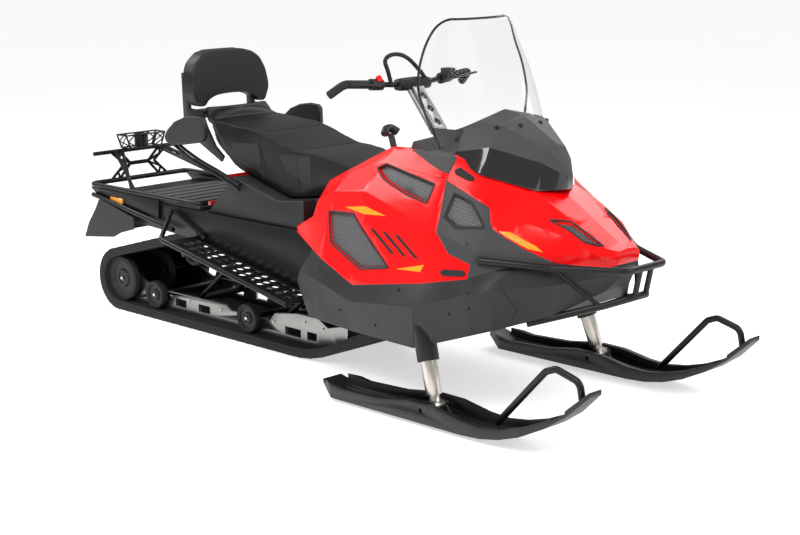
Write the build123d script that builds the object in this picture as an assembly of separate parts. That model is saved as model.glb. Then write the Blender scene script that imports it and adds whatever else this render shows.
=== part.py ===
from build123d import *
import os
from math import atan2, cos, hypot, pi, radians, sin, sqrt, tan

# A two-seat utility snowmobile, in millimetres: X forward, Y to the left, Z up.
# The origin is on the ground, under the middle of the vehicle.

# Reach: ski tips, rear end and top of the windshield
SKI_TIP_X = 1596.0
REAR_X = -1596.0
HEIGHT = 1470.0
SIDE = 600.0  # a half width that clears every piece, for cuts
SEAT_GAP = 0.3  # clearance between pieces that seat on each other

# Track, a loop over four rounds: rear idler, rail toe, drive sprocket and carrier wheel
TRACK_WIDTH = 500.0
BELT = 12.0
LUG_HEIGHT = 30.0
LUG_BASE = 22.0
LUG_TIP = 12.0
LUG_PITCH = 67.0
BELT_FLOOR = LUG_HEIGHT + BELT
IDLER_X = -1436.0
IDLER_RADIUS = 108.0
TOE_X = -205.0
TOE_RADIUS = 520.0
DRIVE_X = 277.0
DRIVE_Z = 311.0
DRIVE_RADIUS = 95.0
CARRIER_X = -900.0
CARRIER_Z = 352.0
CARRIER_RADIUS = 60.0

# Wheels inside the track
BOGIE_RADIUS = 66.0
BOGIE_X = (-1190.0, -535.0)
WHEEL_WIDTH = 34.0
WHEEL_Y = 212.0
WHEEL_RIM = 0.78  # share of the radius inside the tyre
WHEEL_STEP = 4.0
AXLE = 24.0
IDLER_Z = BELT_FLOOR + IDLER_RADIUS
BOGIE_Z = BELT_FLOOR + BOGIE_RADIUS

# Slide rails and suspension
RAIL_Y = 175.0
RAIL_THICK = 14.0
RAIL_TAIL = 40.0  # behind the idler axle
# top line of a rail from tail to toe: x, height above the belt
RAIL_LINE = ((-1376, 134), (-1250, 86), (-720, 86), (-690, 66), (-430, 66), (-400, 104), (-250, 128),
             (-120, 128), (-60, 96), (60, 126))
# lightening slots: rear x, front x
RAIL_SLOTS = ((-1090, -1010), (-920, -840), (-330, -230), (-190, -130))
SLOT_FOOT = 22.0
SLOT_HEIGHT = 36.0
ARM_TUBE = 30.0
ARM_BAR = 24.0
# suspension arms: top pivot x, top pivot z, rail pivot x, rail pivot z
ARMS = ((-130.0, 345.0, -400.0, 108.0), (-700.0, 350.0, -985.0, 108.0))
ARM_Y = 120.0
SHOCK_BODY = 56.0
SHOCK_EYE = 46.0
SHOCK_SPRING = (0.3, 0.85)  # share of the shock's length where its spring sits

# Tunnel over the track
TUNNEL_CLEARANCE = 30.0
TUNNEL_WALL = 6.0
TUNNEL_TOP = 566.0
TUNNEL_REAR = REAR_X + 96
TUNNEL_FRONT = 440.0
TUNNEL_FRONT_FOOT = 280.0
TUNNEL_REAR_FOOT = 470.0
TUNNEL_IN = TRACK_WIDTH / 2 + TUNNEL_CLEARANCE
TUNNEL_OUT = TUNNEL_IN + TUNNEL_WALL

# Running boards, their edge tubes and the stays behind them
BOARD_FRONT_X = -20.0
BOARD_FRONT_Z = 300.0
BOARD_REAR_X = -800.0
BOARD_REAR_Z = 451.0
BOARD_OUT = 440.0
BOARD_THICK = 8.0
BOARD_TUBE = 22.0
BOARD_BEND = 40.0
BOARD_HOLE = 34.0
BOARD_HOLE_ROWS = 3
BOARD_HOLE_COLUMNS = 13
STAY_TUBE = 16.0
STAY_TOP = (BOARD_REAR_X - 150, TUNNEL_TOP - 12)
STAY_FOOT_X = BOARD_REAR_X + 80

# Body shell: wall, and the stations of hood, side panels and belly
SHELL = 26.0
PANEL_REAR = -110.0
# columns: x, then y and z of the chine, belly crease, split line, shoulder, edge, crown, and ridge z
BODY = (
    (PANEL_REAR, 420, 300, 400, 470, 305, 565, 312, 650, 265, 760, 215, 800, 790),
    (160, 445, 262, 455, 430, 430, 515, 345, 775, 265, 850, 215, 880, 850),
    (370, 452, 252, 478, 380, 460, 443, 385, 805, 275, 905, 222, 965, 930),
    (750, 515, 268, 522, 430, 467, 510, 430, 715, 330, 885, 285, 975, 990),
    (980, 440, 345, 475, 505, 470, 563, 435, 665, 290, 768, 120, 858, 866),
    (1050, 405, 368, 435, 518, 385, 596, 345, 668, 250, 755, 120, 825, 838),
    (1190, 230, 418, 260, 535, 222, 616, 212, 650, 185, 712, 112, 743, 752),
    (1310, 70, 505, 90, 560, 84, 591, 104, 622, 118, 640, 88, 668, 676),
    (1352, 40, 560, 55, 590, 62, 606, 72, 622, 75, 640, 55, 655, 662),
)
SPLIT, CROWN_END = 2, 6  # places of the split line and of the last line in a station
# Dash cowl and headlight, columns: x, y and z of the lens foot, of the lip, of the top edge, and ridge z
COWL = (
    (430, 205, 925, 205, 950, 175, 985, 985),
    (645, 285, 905, 285, 925, 232, 1040, 1035),
    (705, 286, 930, 286, 960, 235, 1062, 1095),
    (750, 280, 950, 275, 988, 228, 1078, 1125),
    (850, 248, 905, 205, 1006, 135, 1080, 1108),
    (1010, 115, 848, 88, 950, 52, 1000, 1015),
    (1078, 14, 850, 16, 898, 12, 908, 914),
)
LENS_FROM = 3  # the lens starts at this station of the cowl
HOOD_REAR = 746.0
INSERT_FOOT = 540.0
PANEL_FOOT = 400.0
# Side-view outlines (x, z): where the grey side insert and the red side panel meet the hood
INSERT_REAR = ((HOOD_REAR, 886), (788, 706), (861, 636), (976, 613))
INSERT = ((931, 797), (962, 753), (985, 731), (1137, 645), (1192, 614), (1195, INSERT_FOOT),
          (INSERT_REAR[-1][0], INSERT_FOOT), *reversed(INSERT_REAR))
PANEL = ((PANEL_REAR, 560), (PANEL_REAR, 590), (25, 655), (50, 740), (60, 800), (250, 908), (420, 990),
         (HOOD_REAR, 1100), *INSERT_REAR, (INSERT_REAR[-1][0], PANEL_FOOT), (PANEL_REAR, PANEL_FOOT))
# rear edge of the belly in side view (x, z)
BELLY_REAR = ((105, 255), (20, 400), (80, 560))
CONSOLE_HALF = 200.0
SEAT_POCKET_X = 235.0

# Vents with a screen let in: side-view outlines (x, z), and hood outlines from above (x, y)
VENT_DEEP = 16.0
VENT_SCREEN = 8.0
PANEL_VENTS = (
    ((153, 694), (315, 706), (555, 540), (400, 513), (206, 582)),
    ((354, 883), (389, 901), (689, 864), (689, 798), (571, 816), (426, 852)),
)
INSERT_VENTS = (((796, 838), (862, 812), (953, 736), (858, 732), (798, 760)),)
HOOD_VENTS = (((1122, -168), (1179, -112), (1298, -84), (1290, -96), (1246, -128)),)
# amber marker on the hood's side, side view (x, z)
MARKER = ((1006, 724), (1038, 721), (1127, 675), (1152, 654), (1109, 666), (1031, 708))
MARKER_DEEP = 10.0

# Engine block in its bay
ENGINE = (430.0, 420.0, 380.0)
ENGINE_X = 690.0
BAY_FLOOR = 362.0
BAY_FRONT = 1200.0

# Windshield
SHIELD = 5.0
SHIELD_FOOT_Z = 985.0
# side x, side y, corner x, corner y and corner radius, at the foot and at the head
SHIELD_FOOT = (430.0, 248.0, 905.0, 150.0, 120.0)
SHIELD_HEAD = (500.0, 186.0, 615.0, 100.0, 60.0)
# rear edge of the sheet in side view (x, z), and its top corner in front view (y, z)
SHIELD_EDGE = ((556, 985), (556, 1027), (502, 1115), (476, 1250), (520, 1389), (552, HEIGHT))
SHIELD_CORNER = ((400, 1340), (196, 1340), (180, 1418), (145, 1458), (95, HEIGHT))

# Steering: the riser leans back along the steering axis
STEER_FOOT = (425.0, 0.0, 985.0)
STEER_LEAN = 39.0
POST = 30.0
POST_BELOW = 50.0
RISER_FROM = 26.0
RISER_LENGTH = 252.0
RISER_WIDTH = 64.0
RISER_DEEP = 34.0
RISER_HOLES = 3
BAR = 22.0
BAR_BEND = 30.0
BAR_ALONG = 261.0  # from the steering axis's foot up to the bar
# right half of the handlebar, from its middle (x, y, z): hooked end, bend, root
BAR_POINTS = ((-82, -392, -24), (-22, -366, 22), (0, -70, 0))
GRIP = 34.0
GRIP_LENGTH = 135.0
POD = 46.0
POD_LENGTH = 58.0
LEVER = 10.0
LEVER_OUT = 44.0  # in front of the bar
TANK = (40.0, 46.0, 40.0)  # brake reservoir on the left pod
BAR_PAD = (58.0, 190.0, 50.0)

# Skis and struts
SKI_STANCE = 1010.0
SKI_WIDTH = 172.0
SKI_SOLE = 14.0
SKI_KEEL = 14.0
SKI_KEEL_WIDTH = 44.0
SKI_KEEL_X = (480.0, 1120.0)
SKI_KEEL_RAMP = 45.0
SKI_WALL = 24.0
SKI_TAIL_X = 300.0
SKI_TAIL_RISE = 40.0
SKI_TAIL_RUN = 80.0
SKI_TAIL_HALF = 50.0
SKI_BEND_X = 1060.0
SKI_TIP_RISE = 239.0
SKI_TIP_HALF = 36.0
SKI_TAPER = 266.0  # length of the narrowing in front
SKI_STEPS = 6
# wall height above the sole: x, height; the front part falls from one height to another
SKI_LIPS = ((SKI_TAIL_X, 22), (440, 44), (640, 52), (800, 76), (930, 74), (SKI_BEND_X, 52))
SKI_FRONT_LIPS = (46.0, 20.0)
SKI_PIN = (860.0, 64.0)
SKI_PIN_SIZE = 18.0
SKI_PIN_END = 6.0
SKI_EAR = 14.0
SKI_EAR_RADIUS = 25.0
SKI_EAR_FOOT = 70.0
STRUT_CASTER = 19.0
STRUT_LEAN = 6.3
STRUT = 62.0
STRUT_FROM = 42.0
STRUT_TO = 330.0
STRUT_NECK = 42.0
SLEEVE = 84.0
SLEEVE_FROM = 170.0
SLEEVE_CAP = 60.0
FOOT_WIDTH = 50.0
FOOT_PLAY = 1.0
SKI_LOOP = 26.0
SKI_LOOP_BEND = 40.0
# loop handle of the ski, back from its tip and up from its sole (x, z)
SKI_LOOP_POINTS = ((-436, 48), (-216, 286), (-171, 304), (-66, 276), (-51, 201))

# Seat, its base, the backrest and what holds them
# side outline of the cushion (x, z), and its half width from above (x, y)
SEAT = ((225, 700), (225, 800), (60, 845), (-100, 880), (-230, 885), (-330, 905), (-420, 935), (-510, 955),
        (-780, 970), (-822, 1035), (-850, 1030), (-846, 975), (-760, 850), (-650, 770), (-270, 672),
        (-50, 700))
SEAT_PLAN = ((240, 165), (60, 178), (-300, 199), (-600, 205), (-780, 200), (-900, 160))
SEAT_BASE = ((SEAT_POCKET_X, TUNNEL_TOP), (SEAT_POCKET_X, 700), (-50, 700), (-270, 672), (-560, 744),
             (-735, TUNNEL_TOP))
BASE_HALF = 268.0
BACK_HALF = 212.0
BACK_FOOT = (-892.0, 1008.0)
BACK_HEAD = (-925.0, 1262.0)
BACK_THICK = 76.0
BACK_TOP_CORNER = 105.0
BACK_LOW_CORNER = 26.0
BACK_ARCH = (150.0, 50.0)  # half width and rise of the cut below
BACK_ARCH_CORNER = 40.0
# side plate of the backrest's bracket (x, z), cut to the pad and the cushion
BRACKET = ((-930, 1165), (-930, 1004), (-840, 1000), (-840, 975), (-740, 840), (-700, 815), (-720, 785),
           (-890, 865), (-975, 945), (-985, 1160))
BRACKET_Y = 184.0
BRACKET_PLATE = 10.0
BRACKET_TIE = (-980.0, -950.0, 950.0, 990.0)  # rear x, front x, low z, high z
HANDLE_TUBE = 24.0
HANDLE_BEND = 60.0
# right grab handle: x, distance out of the seat base, z
HANDLE_POINTS = ((-500, 0, 705), (-600, 2, 745), (-780, 35, 808), (-885, 65, 886))
GUARD = ((-915, 894), (-845, 966), (-720, 1000), (-640, 990), (-635, 909), (-840, 863))
GUARD_THICK = 26.0
LAMP_SHARE = (0.28, 0.72)  # along the slanted rear of the seat base
LAMP_DEEP = 16.0
LAMP_HALF = 205.0

# Rear rack and snow flap
RACK_Z = 600.0
RACK_TUBE = 24.0
RACK_BEND = 40.0
RACK_FRONT = -770.0
RACK_REAR = REAR_X + 26
PLATE = 10.0
RACK_HALF = TUNNEL_OUT + SEAT_GAP + PLATE / 2  # the side rails lie over the gussets
LOWER_TUBE = 22.0
LOWER_Y = TUNNEL_OUT + 2 * SEAT_GAP + PLATE + LOWER_TUBE / 2
LOWER_RAIL = ((REAR_X + 66, 556), (-930, 466))
GUSSET_FRONT = -1050.0
GUSSET_FOOT = ((GUSSET_FRONT, 500), (-1230, 505), (REAR_X + 96, 545))
GUSSET_TIP = REAR_X + 31
DECK_Z = 582.0
DECK_REAR = -1300.0
DECK_FRONT = -790.0
DECK_SLOT = 40.0
DECK_PITCH = 70.0
DECK_GROOVE = 6.0
REFLECTOR = (-1400.0, 90.0, 535.0, 25.0, 8.0)  # rear x, length, foot z, height, depth
TOWER_HALF = 165.0
TOWER_WAIST = 90.0
TOWER_HEIGHT = 122.0
TOWER_PLATE = 10.0
TOWER_BAR = 265.0
TOWER_BAR_TUBE = 20.0
TOWER_BOX = (60.0, 240.0, 75.0, 12.0)  # depth, width, height and wall
TOWER_WINDOW = (14.0, 48.0, 90.0, 110.0)  # near and far from the waist, half widths there
TOWER_BRACE = 16.0
TOWER_BRACE_RUN = 335.0
TOWER_BRACE_Y = 150.0
FLAP = 10.0
FLAP_HALF = 325.0
FLAP_FOOT = 345.0
FLAP_HEAD = 545.0
FLAP_TOP = 156.0
# wing of the flap: forward from the rear end, z
FLAP_WING = ((396, 490), (396, 440), (146, 362))

# Front bumper
BUMPER_TUBE = 28.0
BUMPER_BEND = 45.0
BUMPER_POST = 22.0
BUMPER_POST_Y = 34.0
# right half of the upper hoop and of the lower hoop (x, y, z)
BUMPER_UPPER = ((1000, -432, 628), (1198, -262, 603), (1435, -112, 602))
BUMPER_LOWER = ((1110, -285, 384), (1327, -105, 457), (1412, -46, 492))
BUMPER_BRACE = 16.0
BRACE_AT = (0.03, 0.95)  # share of the upper and of the lower hoop's long run where the brace joins


def prism(points, near, far, axis):
    """A polygon drawn across one axis and stretched along it from near to far."""
    place = {"x": lambda a, b: (near, a, b), "y": lambda a, b: (a, near, b), "z": lambda a, b: (a, b, near)}
    way = {"x": (1, 0, 0), "y": (0, 1, 0), "z": (0, 0, 1)}
    outline = Wire.make_polygon([Vector(*place[axis](a, b)) for a, b in points], close=True)
    return extrude(Face(outline), amount=far - near, dir=way[axis])


def box(x0, x1, y0, y1, z0, z1):
    """A block between two corners."""
    return prism(((x0, y0), (x1, y0), (x1, y1), (x0, y1)), z0, z1, "z")


def rod(start, end, size):
    """A round bar between two points."""
    run = Vector(*end) - Vector(*start)
    plane = Plane(origin=Vector(*start), z_dir=run)
    return plane * Cylinder(size / 2, run.length, align=(Align.CENTER, Align.CENTER, Align.MIN))


def pipe(points, size, bend):
    """A bent round tube along a line of points."""
    path = FilletPolyline(*points, radius=bend)
    return sweep(Plane(origin=path @ 0, z_dir=path % 0) * Circle(size / 2), path=path)


def cross_rod(x, z, size, half):
    """A round bar across the vehicle."""
    return rod((x, -half, z), (x, half, z), size)


def between(start, end, share):
    """The point at a share of the way from one point to another."""
    return tuple(a + (b - a) * share for a, b in zip(start, end))


def both(points):
    """A line of points from the right side on to its mirrored half."""
    return tuple(points) + tuple((x, -y, z) for x, y, z in reversed(points))


def flip(shape):
    """The same piece on the other side."""
    return mirror(shape, about=Plane.XZ)


def section(x, half):
    """A closed section across the vehicle from its right half, bottom to top."""
    points = [(x, -y, z) for y, z in half] + [(x, y, z) for y, z in reversed(half) if y > 0]
    return Face(Wire.make_polygon([Vector(*p) for p in points], close=True))


def skin(sections):
    """A body with straight lines between its sections."""
    return loft([section(x, half) for x, half in sections], ruled=True)


def largest(shape):
    """The main solid of a cut piece."""
    return max(shape.solids(), key=lambda solid: solid.volume)


def save(name, *solids):
    """Writes one piece."""
    shape = solids[0] if len(solids) == 1 else Compound(children=[s for p in solids for s in p.solids()])
    export_step(shape, f"parts/{name}.step")


# Track loop


def track_rounds(offset):
    """The rounds that the belt runs over, rear idler first and then along the ground."""
    return (
        (IDLER_X, IDLER_Z, IDLER_RADIUS + offset),
        (TOE_X, BELT_FLOOR + TOE_RADIUS, TOE_RADIUS + offset),
        (DRIVE_X, DRIVE_Z, DRIVE_RADIUS + offset),
        (CARRIER_X, CARRIER_Z, CARRIER_RADIUS + offset),
    )


def loop_runs(offset):
    """Straight runs of the loop, each from one round to the next, with its outward direction."""
    rounds = track_rounds(offset)
    runs = []
    for (x0, z0, r0), (x1, z1, r1) in zip(rounds, rounds[1:] + rounds[:1]):
        length = hypot(x1 - x0, z1 - z0)
        dx, dz = (x1 - x0) / length, (z1 - z0) / length
        lean = (r0 - r1) / length
        nx = dx * lean + dz * sqrt(1 - lean**2)
        nz = dz * lean - dx * sqrt(1 - lean**2)
        runs.append(((x0 + r0 * nx, z0 + r0 * nz), (x1 + r1 * nx, z1 + r1 * nz), atan2(nz, nx)))
    return runs


def loop_stretches():
    """The outer face of the belt as (length, place) pairs, place giving a point and its outward angle."""
    rounds = track_rounds(BELT)
    runs = loop_runs(BELT)
    stretches = []
    for i, (start, end, angle) in enumerate(runs):
        def line(t, start=start, end=end, angle=angle):
            return *between(start, end, t), angle
        stretches.append((hypot(end[0] - start[0], end[1] - start[1]), line))
        x, z, r = rounds[(i + 1) % len(rounds)]
        turn = (runs[(i + 1) % len(runs)][2] - angle) % (2 * pi)
        def arc(t, x=x, z=z, r=r, angle=angle, turn=turn):
            a = angle + turn * t
            return x + r * cos(a), z + r * sin(a), a
        stretches.append((r * turn, arc))
    return stretches


def loop_at(stretches, s):
    """The point and outward angle at a distance along the loop."""
    s = s % sum(length for length, place in stretches)
    for length, place in stretches:
        if s <= length:
            return place(s / length)
        s -= length
    return stretches[-1][1](1.0)


def track():
    stretches = loop_stretches()
    girth = sum(length for length, place in stretches)
    count = round(girth / LUG_PITCH)
    pitch = girth / count
    outline = []
    # offsets along the belt and out of it, of one lug and of the belt up to the next lug
    steps = ((-LUG_BASE / 2, 0), (-LUG_TIP / 2, LUG_HEIGHT), (LUG_TIP / 2, LUG_HEIGHT), (LUG_BASE / 2, 0),
             (pitch / 2, 0))
    for i in range(count):
        for along, out in steps:
            x, z, angle = loop_at(stretches, i * pitch + (along if out == 0 else 0))
            side = along if out else 0
            outline.append((x + out * cos(angle) - side * sin(angle),
                            z + out * sin(angle) + side * cos(angle)))
    outer = prism(outline, -TRACK_WIDTH / 2, TRACK_WIDTH / 2, "y")
    return outer - loop_inside(0, TRACK_WIDTH)


def loop_inside(offset, width):
    """What the belt's inner face encloses, grown by an offset."""
    runs = loop_runs(offset)
    rounds = track_rounds(offset)
    edges = []
    for i, (start, end, angle) in enumerate(runs):
        edges.append(Line((start[0], 0, start[1]), (end[0], 0, end[1])))
        x, z, r = rounds[(i + 1) % len(rounds)]
        turn = (runs[(i + 1) % len(runs)][2] - angle) % (2 * pi)
        mid = angle + turn / 2
        after = runs[(i + 1) % len(runs)][0]
        edges.append(ThreePointArc((end[0], 0, end[1]), (x + r * cos(mid), 0, z + r * sin(mid)),
                                   (after[0], 0, after[1])))
    face = Face(Wire(edges))
    return Pos(0, -width / 2, 0) * extrude(face, amount=width, dir=(0, 1, 0))


def wheel(x, z, y, radius):
    """A disc wheel: tyre, web and hub on its axle."""
    half = WHEEL_WIDTH / 2
    web = half / 3
    rim = radius * WHEEL_RIM
    step = WHEEL_STEP
    bore = AXLE / 2 + SEAT_GAP / 2
    # right half of the profile: distance from the axle, place along it
    side = ((bore, half), (AXLE, half), (AXLE + step, web), (rim - step, web), (rim, half),
            (radius, half - step))
    profile = [(r, -along) for r, along in side] + list(reversed(side))
    face = Face(Wire.make_polygon([Vector(x + r, y + along, z) for r, along in profile], close=True))
    return revolve(face, axis=Axis((x, y, z), (0, 1, 0)))


def wheels_inside():
    pair = (-WHEEL_Y, WHEEL_Y)
    idlers = [wheel(IDLER_X, IDLER_Z, y, IDLER_RADIUS - SEAT_GAP) for y in (-WHEEL_Y, 0, WHEEL_Y)]
    bogies = [wheel(x, BOGIE_Z, y, BOGIE_RADIUS - SEAT_GAP) for x in BOGIE_X for y in pair]
    carriers = [wheel(CARRIER_X, CARRIER_Z, y, CARRIER_RADIUS - SEAT_GAP) for y in pair]
    half = WHEEL_Y + WHEEL_WIDTH / 2
    axles = [cross_rod(IDLER_X, IDLER_Z, AXLE, half)] + [cross_rod(x, BOGIE_Z, AXLE, half) for x in BOGIE_X]
    axles.append(cross_rod(CARRIER_X, CARRIER_Z, AXLE, TUNNEL_IN))
    drive = cross_rod(DRIVE_X, DRIVE_Z, ARM_TUBE, TUNNEL_IN)
    for y in (-WHEEL_Y / 2, WHEEL_Y / 2):
        ends = [(DRIVE_X, y + sign * WHEEL_WIDTH / 2, DRIVE_Z) for sign in (-1, 1)]
        drive += rod(*ends, 2 * (DRIVE_RADIUS - SEAT_GAP))
    save("rear_idler_wheels", *idlers)
    save("bogie_wheels", *bogies, *carriers)
    save("wheel_axles", *axles, drive)


def slide_rails():
    foot = BELT_FLOOR + SEAT_GAP
    tail = IDLER_X - RAIL_TAIL
    top = [(tail, BELT_FLOOR + RAIL_LINE[0][1])] + [(x, BELT_FLOOR + up) for x, up in RAIL_LINE]
    outline = [(tail, foot)] + top + [(RAIL_LINE[-1][0], foot)]
    rail = prism(outline, -RAIL_Y - RAIL_THICK / 2, -RAIL_Y + RAIL_THICK / 2, "y")
    rail = rail & loop_inside(-SEAT_GAP, TRACK_WIDTH)
    for x, z in ((IDLER_X, IDLER_Z), (BOGIE_X[0], BOGIE_Z), (BOGIE_X[1], BOGIE_Z)):
        rail -= cross_rod(x, z, AXLE + SEAT_GAP, TRACK_WIDTH)
    for rear, front in RAIL_SLOTS:
        rail -= box(rear, front, -TRACK_WIDTH, 0, foot + SLOT_FOOT, foot + SLOT_FOOT + SLOT_HEIGHT)
    save("slide_rails", rail, flip(rail))


def suspension():
    rail_in = RAIL_Y - RAIL_THICK / 2
    arms = []
    for top_x, top_z, low_x, low_z in ARMS:
        arm = cross_rod(top_x, top_z, ARM_TUBE, TUNNEL_IN) + cross_rod(low_x, low_z, ARM_TUBE, rail_in)
        for y in (-ARM_Y, ARM_Y):
            arm += rod((top_x, y, top_z), (low_x, y, low_z), ARM_BAR)
        arms.append(arm)
    save("suspension_arms", *arms)
    low = (ARMS[0][2], 0, ARMS[0][3])
    top = (ARMS[1][0], 0, ARMS[1][1])
    shock = rod(low, top, SHOCK_BODY / 2)
    shock += rod(between(low, top, SHOCK_SPRING[0]), between(low, top, SHOCK_SPRING[1]), SHOCK_BODY)
    for x, y, z in (low, top):
        shock += cross_rod(x, z, SHOCK_EYE, SHOCK_BODY / 2)
    for x, y, z in (low, top):
        shock -= cross_rod(x, z, ARM_TUBE + SEAT_GAP, SHOCK_BODY)
    save("shock_absorber", shock)


# Tunnel, running boards, rack and flap


def board_z(x):
    """Height of the running board's top at a place along it."""
    slope = (BOARD_REAR_Z - BOARD_FRONT_Z) / (BOARD_REAR_X - BOARD_FRONT_X)
    return BOARD_FRONT_Z + slope * (x - BOARD_FRONT_X)


def tunnel():
    side = ((TUNNEL_REAR, TUNNEL_TOP), (TUNNEL_FRONT, TUNNEL_TOP), (TUNNEL_FRONT, TUNNEL_FRONT_FOOT),
            (BOARD_FRONT_X, BOARD_FRONT_Z - 2 * BOARD_THICK), (BOARD_REAR_X, BOARD_REAR_Z - 2 * BOARD_THICK),
            (TUNNEL_REAR, TUNNEL_REAR_FOOT))
    shell = prism(side, -TUNNEL_OUT, TUNNEL_OUT, "y")
    inside = box(TUNNEL_REAR, TUNNEL_FRONT - TUNNEL_WALL, -TUNNEL_IN, TUNNEL_IN, 0, TUNNEL_TOP - TUNNEL_WALL)
    save("tunnel", shell - inside)


def running_board():
    outline = ((BOARD_FRONT_X, BOARD_FRONT_Z), (BOARD_REAR_X, BOARD_REAR_Z),
               (BOARD_REAR_X, BOARD_REAR_Z - BOARD_THICK), (BOARD_FRONT_X, BOARD_FRONT_Z - BOARD_THICK))
    board = prism(outline, -BOARD_OUT, -TUNNEL_OUT, "y")
    step_x = (BOARD_FRONT_X - BOARD_REAR_X) / (BOARD_HOLE_COLUMNS + 1)
    step_y = (BOARD_OUT - TUNNEL_OUT) / (BOARD_HOLE_ROWS + 1)
    for i in range(BOARD_HOLE_COLUMNS):
        for j in range(BOARD_HOLE_ROWS):
            x = BOARD_REAR_X + step_x * (i + 1)
            y = -TUNNEL_OUT - step_y * (j + 1)
            board -= rod((x, y, 0), (x, y, TUNNEL_TOP), BOARD_HOLE)
    edge_y = -BOARD_OUT - BOARD_TUBE / 2 - SEAT_GAP
    wall_y = -TUNNEL_OUT - BOARD_TUBE / 2 - SEAT_GAP
    drop = BOARD_THICK / 2
    corner_x = BOARD_REAR_X - BOARD_BEND
    top = (STAY_TOP[0], wall_y, STAY_TOP[1])
    front = (BOARD_FRONT_X, edge_y, BOARD_FRONT_Z - drop)
    corner = (corner_x, edge_y, board_z(corner_x) - drop)
    rail = pipe((front, corner, top), BOARD_TUBE, BOARD_BEND)
    rail += rod(top, (STAY_FOOT_X, wall_y, board_z(STAY_FOOT_X) + STAY_TUBE), STAY_TUBE)
    save("running_boards", board, flip(board))
    save("board_rails", rail, flip(rail))


def rack_loop():
    """Side rails, rear bar and front bar of the rack in one loop."""
    y = RACK_HALF
    corners = ((RACK_FRONT, 0), (RACK_FRONT, -y), (RACK_REAR, -y), (RACK_REAR, 0))
    half = pipe([(x, across, RACK_Z) for x, across in corners], RACK_TUBE, RACK_BEND)
    return half + flip(half)


def lower_rail(size):
    """The right lower rail, along the foot of the gusset."""
    (rear_x, rear_z), (front_x, front_z) = LOWER_RAIL
    return rod((rear_x, -LOWER_Y, rear_z), (front_x, -LOWER_Y, front_z), size)


def gusset_plate():
    """The right side plate that carries the rack on the tunnel."""
    head = RACK_Z - RACK_TUBE / 2 - SEAT_GAP
    outline = ((GUSSET_TIP, head), (GUSSET_FRONT, head)) + GUSSET_FOOT
    return prism(outline, -TUNNEL_OUT - SEAT_GAP - PLATE, -TUNNEL_OUT - SEAT_GAP, "y")


def rack():
    rail = lower_rail(LOWER_TUBE)
    save("rack_frame", rack_loop(), rail, flip(rail))
    plate = gusset_plate()
    save("rack_gussets", plate, flip(plate))
    half = RACK_HALF - RACK_TUBE
    deck = box(DECK_REAR, DECK_FRONT, -half, half, TUNNEL_TOP, DECK_Z)
    groove_half = half - DECK_SLOT
    for i in range(int((DECK_FRONT - DECK_REAR) // DECK_PITCH)):
        x = DECK_REAR + DECK_PITCH * i + DECK_SLOT
        deck -= box(x, x + DECK_SLOT, -groove_half, groove_half, DECK_Z - DECK_GROOVE, DECK_Z)
    save("rack_deck", deck)


def tower():
    foot = RACK_Z
    head = RACK_Z + RACK_TUBE / 2 + TOWER_HEIGHT
    mid = (foot + RACK_TUBE / 2 + head) / 2
    side = ((-TOWER_HALF, foot), (TOWER_HALF, foot), (TOWER_WAIST, mid), (TOWER_HALF, head),
            (-TOWER_HALF, head), (-TOWER_WAIST, mid))
    x = RACK_REAR
    plate = prism(side, x - TOWER_PLATE / 2, x + TOWER_PLATE / 2, "x")
    near, far, near_half, far_half = TOWER_WINDOW
    for sign in (-1, 1):
        window = ((-near_half, mid + sign * near), (near_half, mid + sign * near),
                  (far_half, mid + sign * far), (-far_half, mid + sign * far))
        plate -= prism(window, x - TOWER_PLATE, x + TOWER_PLATE, "x")
    bar_z = head + TOWER_BAR_TUBE / 2 - TOWER_PLATE / 2
    deep, width, high, wall = TOWER_BOX
    low = bar_z + TOWER_BAR_TUBE / 2 - TOWER_PLATE / 2
    case = box(x - deep / 4, x + deep, -width / 2, width / 2, low, low + high)
    case -= box(x - deep, x + 2 * deep, -width / 2 + wall, width / 2 - wall, low + wall, low + high - wall)
    whole = plate + cross_rod(x, bar_z, TOWER_BAR_TUBE, TOWER_BAR) + case
    for sign in (-1, 1):
        head = (x, sign * TOWER_BRACE_Y, bar_z)
        whole += rod(head, (x + TOWER_BRACE_RUN, sign * RACK_HALF, RACK_Z), TOWER_BRACE)
    save("rack_tower", whole - rack_loop())


def snow_flap():
    wall = box(REAR_X, REAR_X + FLAP, -FLAP_HALF, FLAP_HALF, FLAP_FOOT, FLAP_HEAD)
    outline = ((REAR_X, FLAP_FOOT), (REAR_X, FLAP_HEAD), (REAR_X + FLAP_TOP, FLAP_HEAD))
    outline += tuple((REAR_X + ahead, z) for ahead, z in FLAP_WING)
    wing = prism(outline, -FLAP_HALF, -FLAP_HALF + FLAP, "y")
    roof = box(REAR_X, TUNNEL_REAR, -FLAP_HALF, FLAP_HALF, FLAP_HEAD - FLAP, FLAP_HEAD)
    flap = wall + wing + flip(wing) + roof
    room = gusset_plate() + lower_rail(LOWER_TUBE + 2 * SEAT_GAP)
    save("snow_flap", flap - room - flip(room))


# Body


def body_stations(low, high, inset):
    """Half sections of the body between two of its lines, drawn in by an inset."""
    sections = []
    for row in BODY:
        x, lines, ridge = row[0], list(zip(row[1:13:2], row[2:13:2])), row[13]
        half = [(max(y - inset, SHELL / 2), z) for y, z in lines]
        if low == 0:
            half[0] = (half[0][0], half[0][1] + inset)
        half = half[low:high]
        if high == CROWN_END:
            half = [half[0]] + [(y, max(z - inset, half[0][1] + SHELL / 4)) for y, z in half[1:]]
            half.append((0, ridge - inset))
        sections.append((x, half))
    return sections


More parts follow.
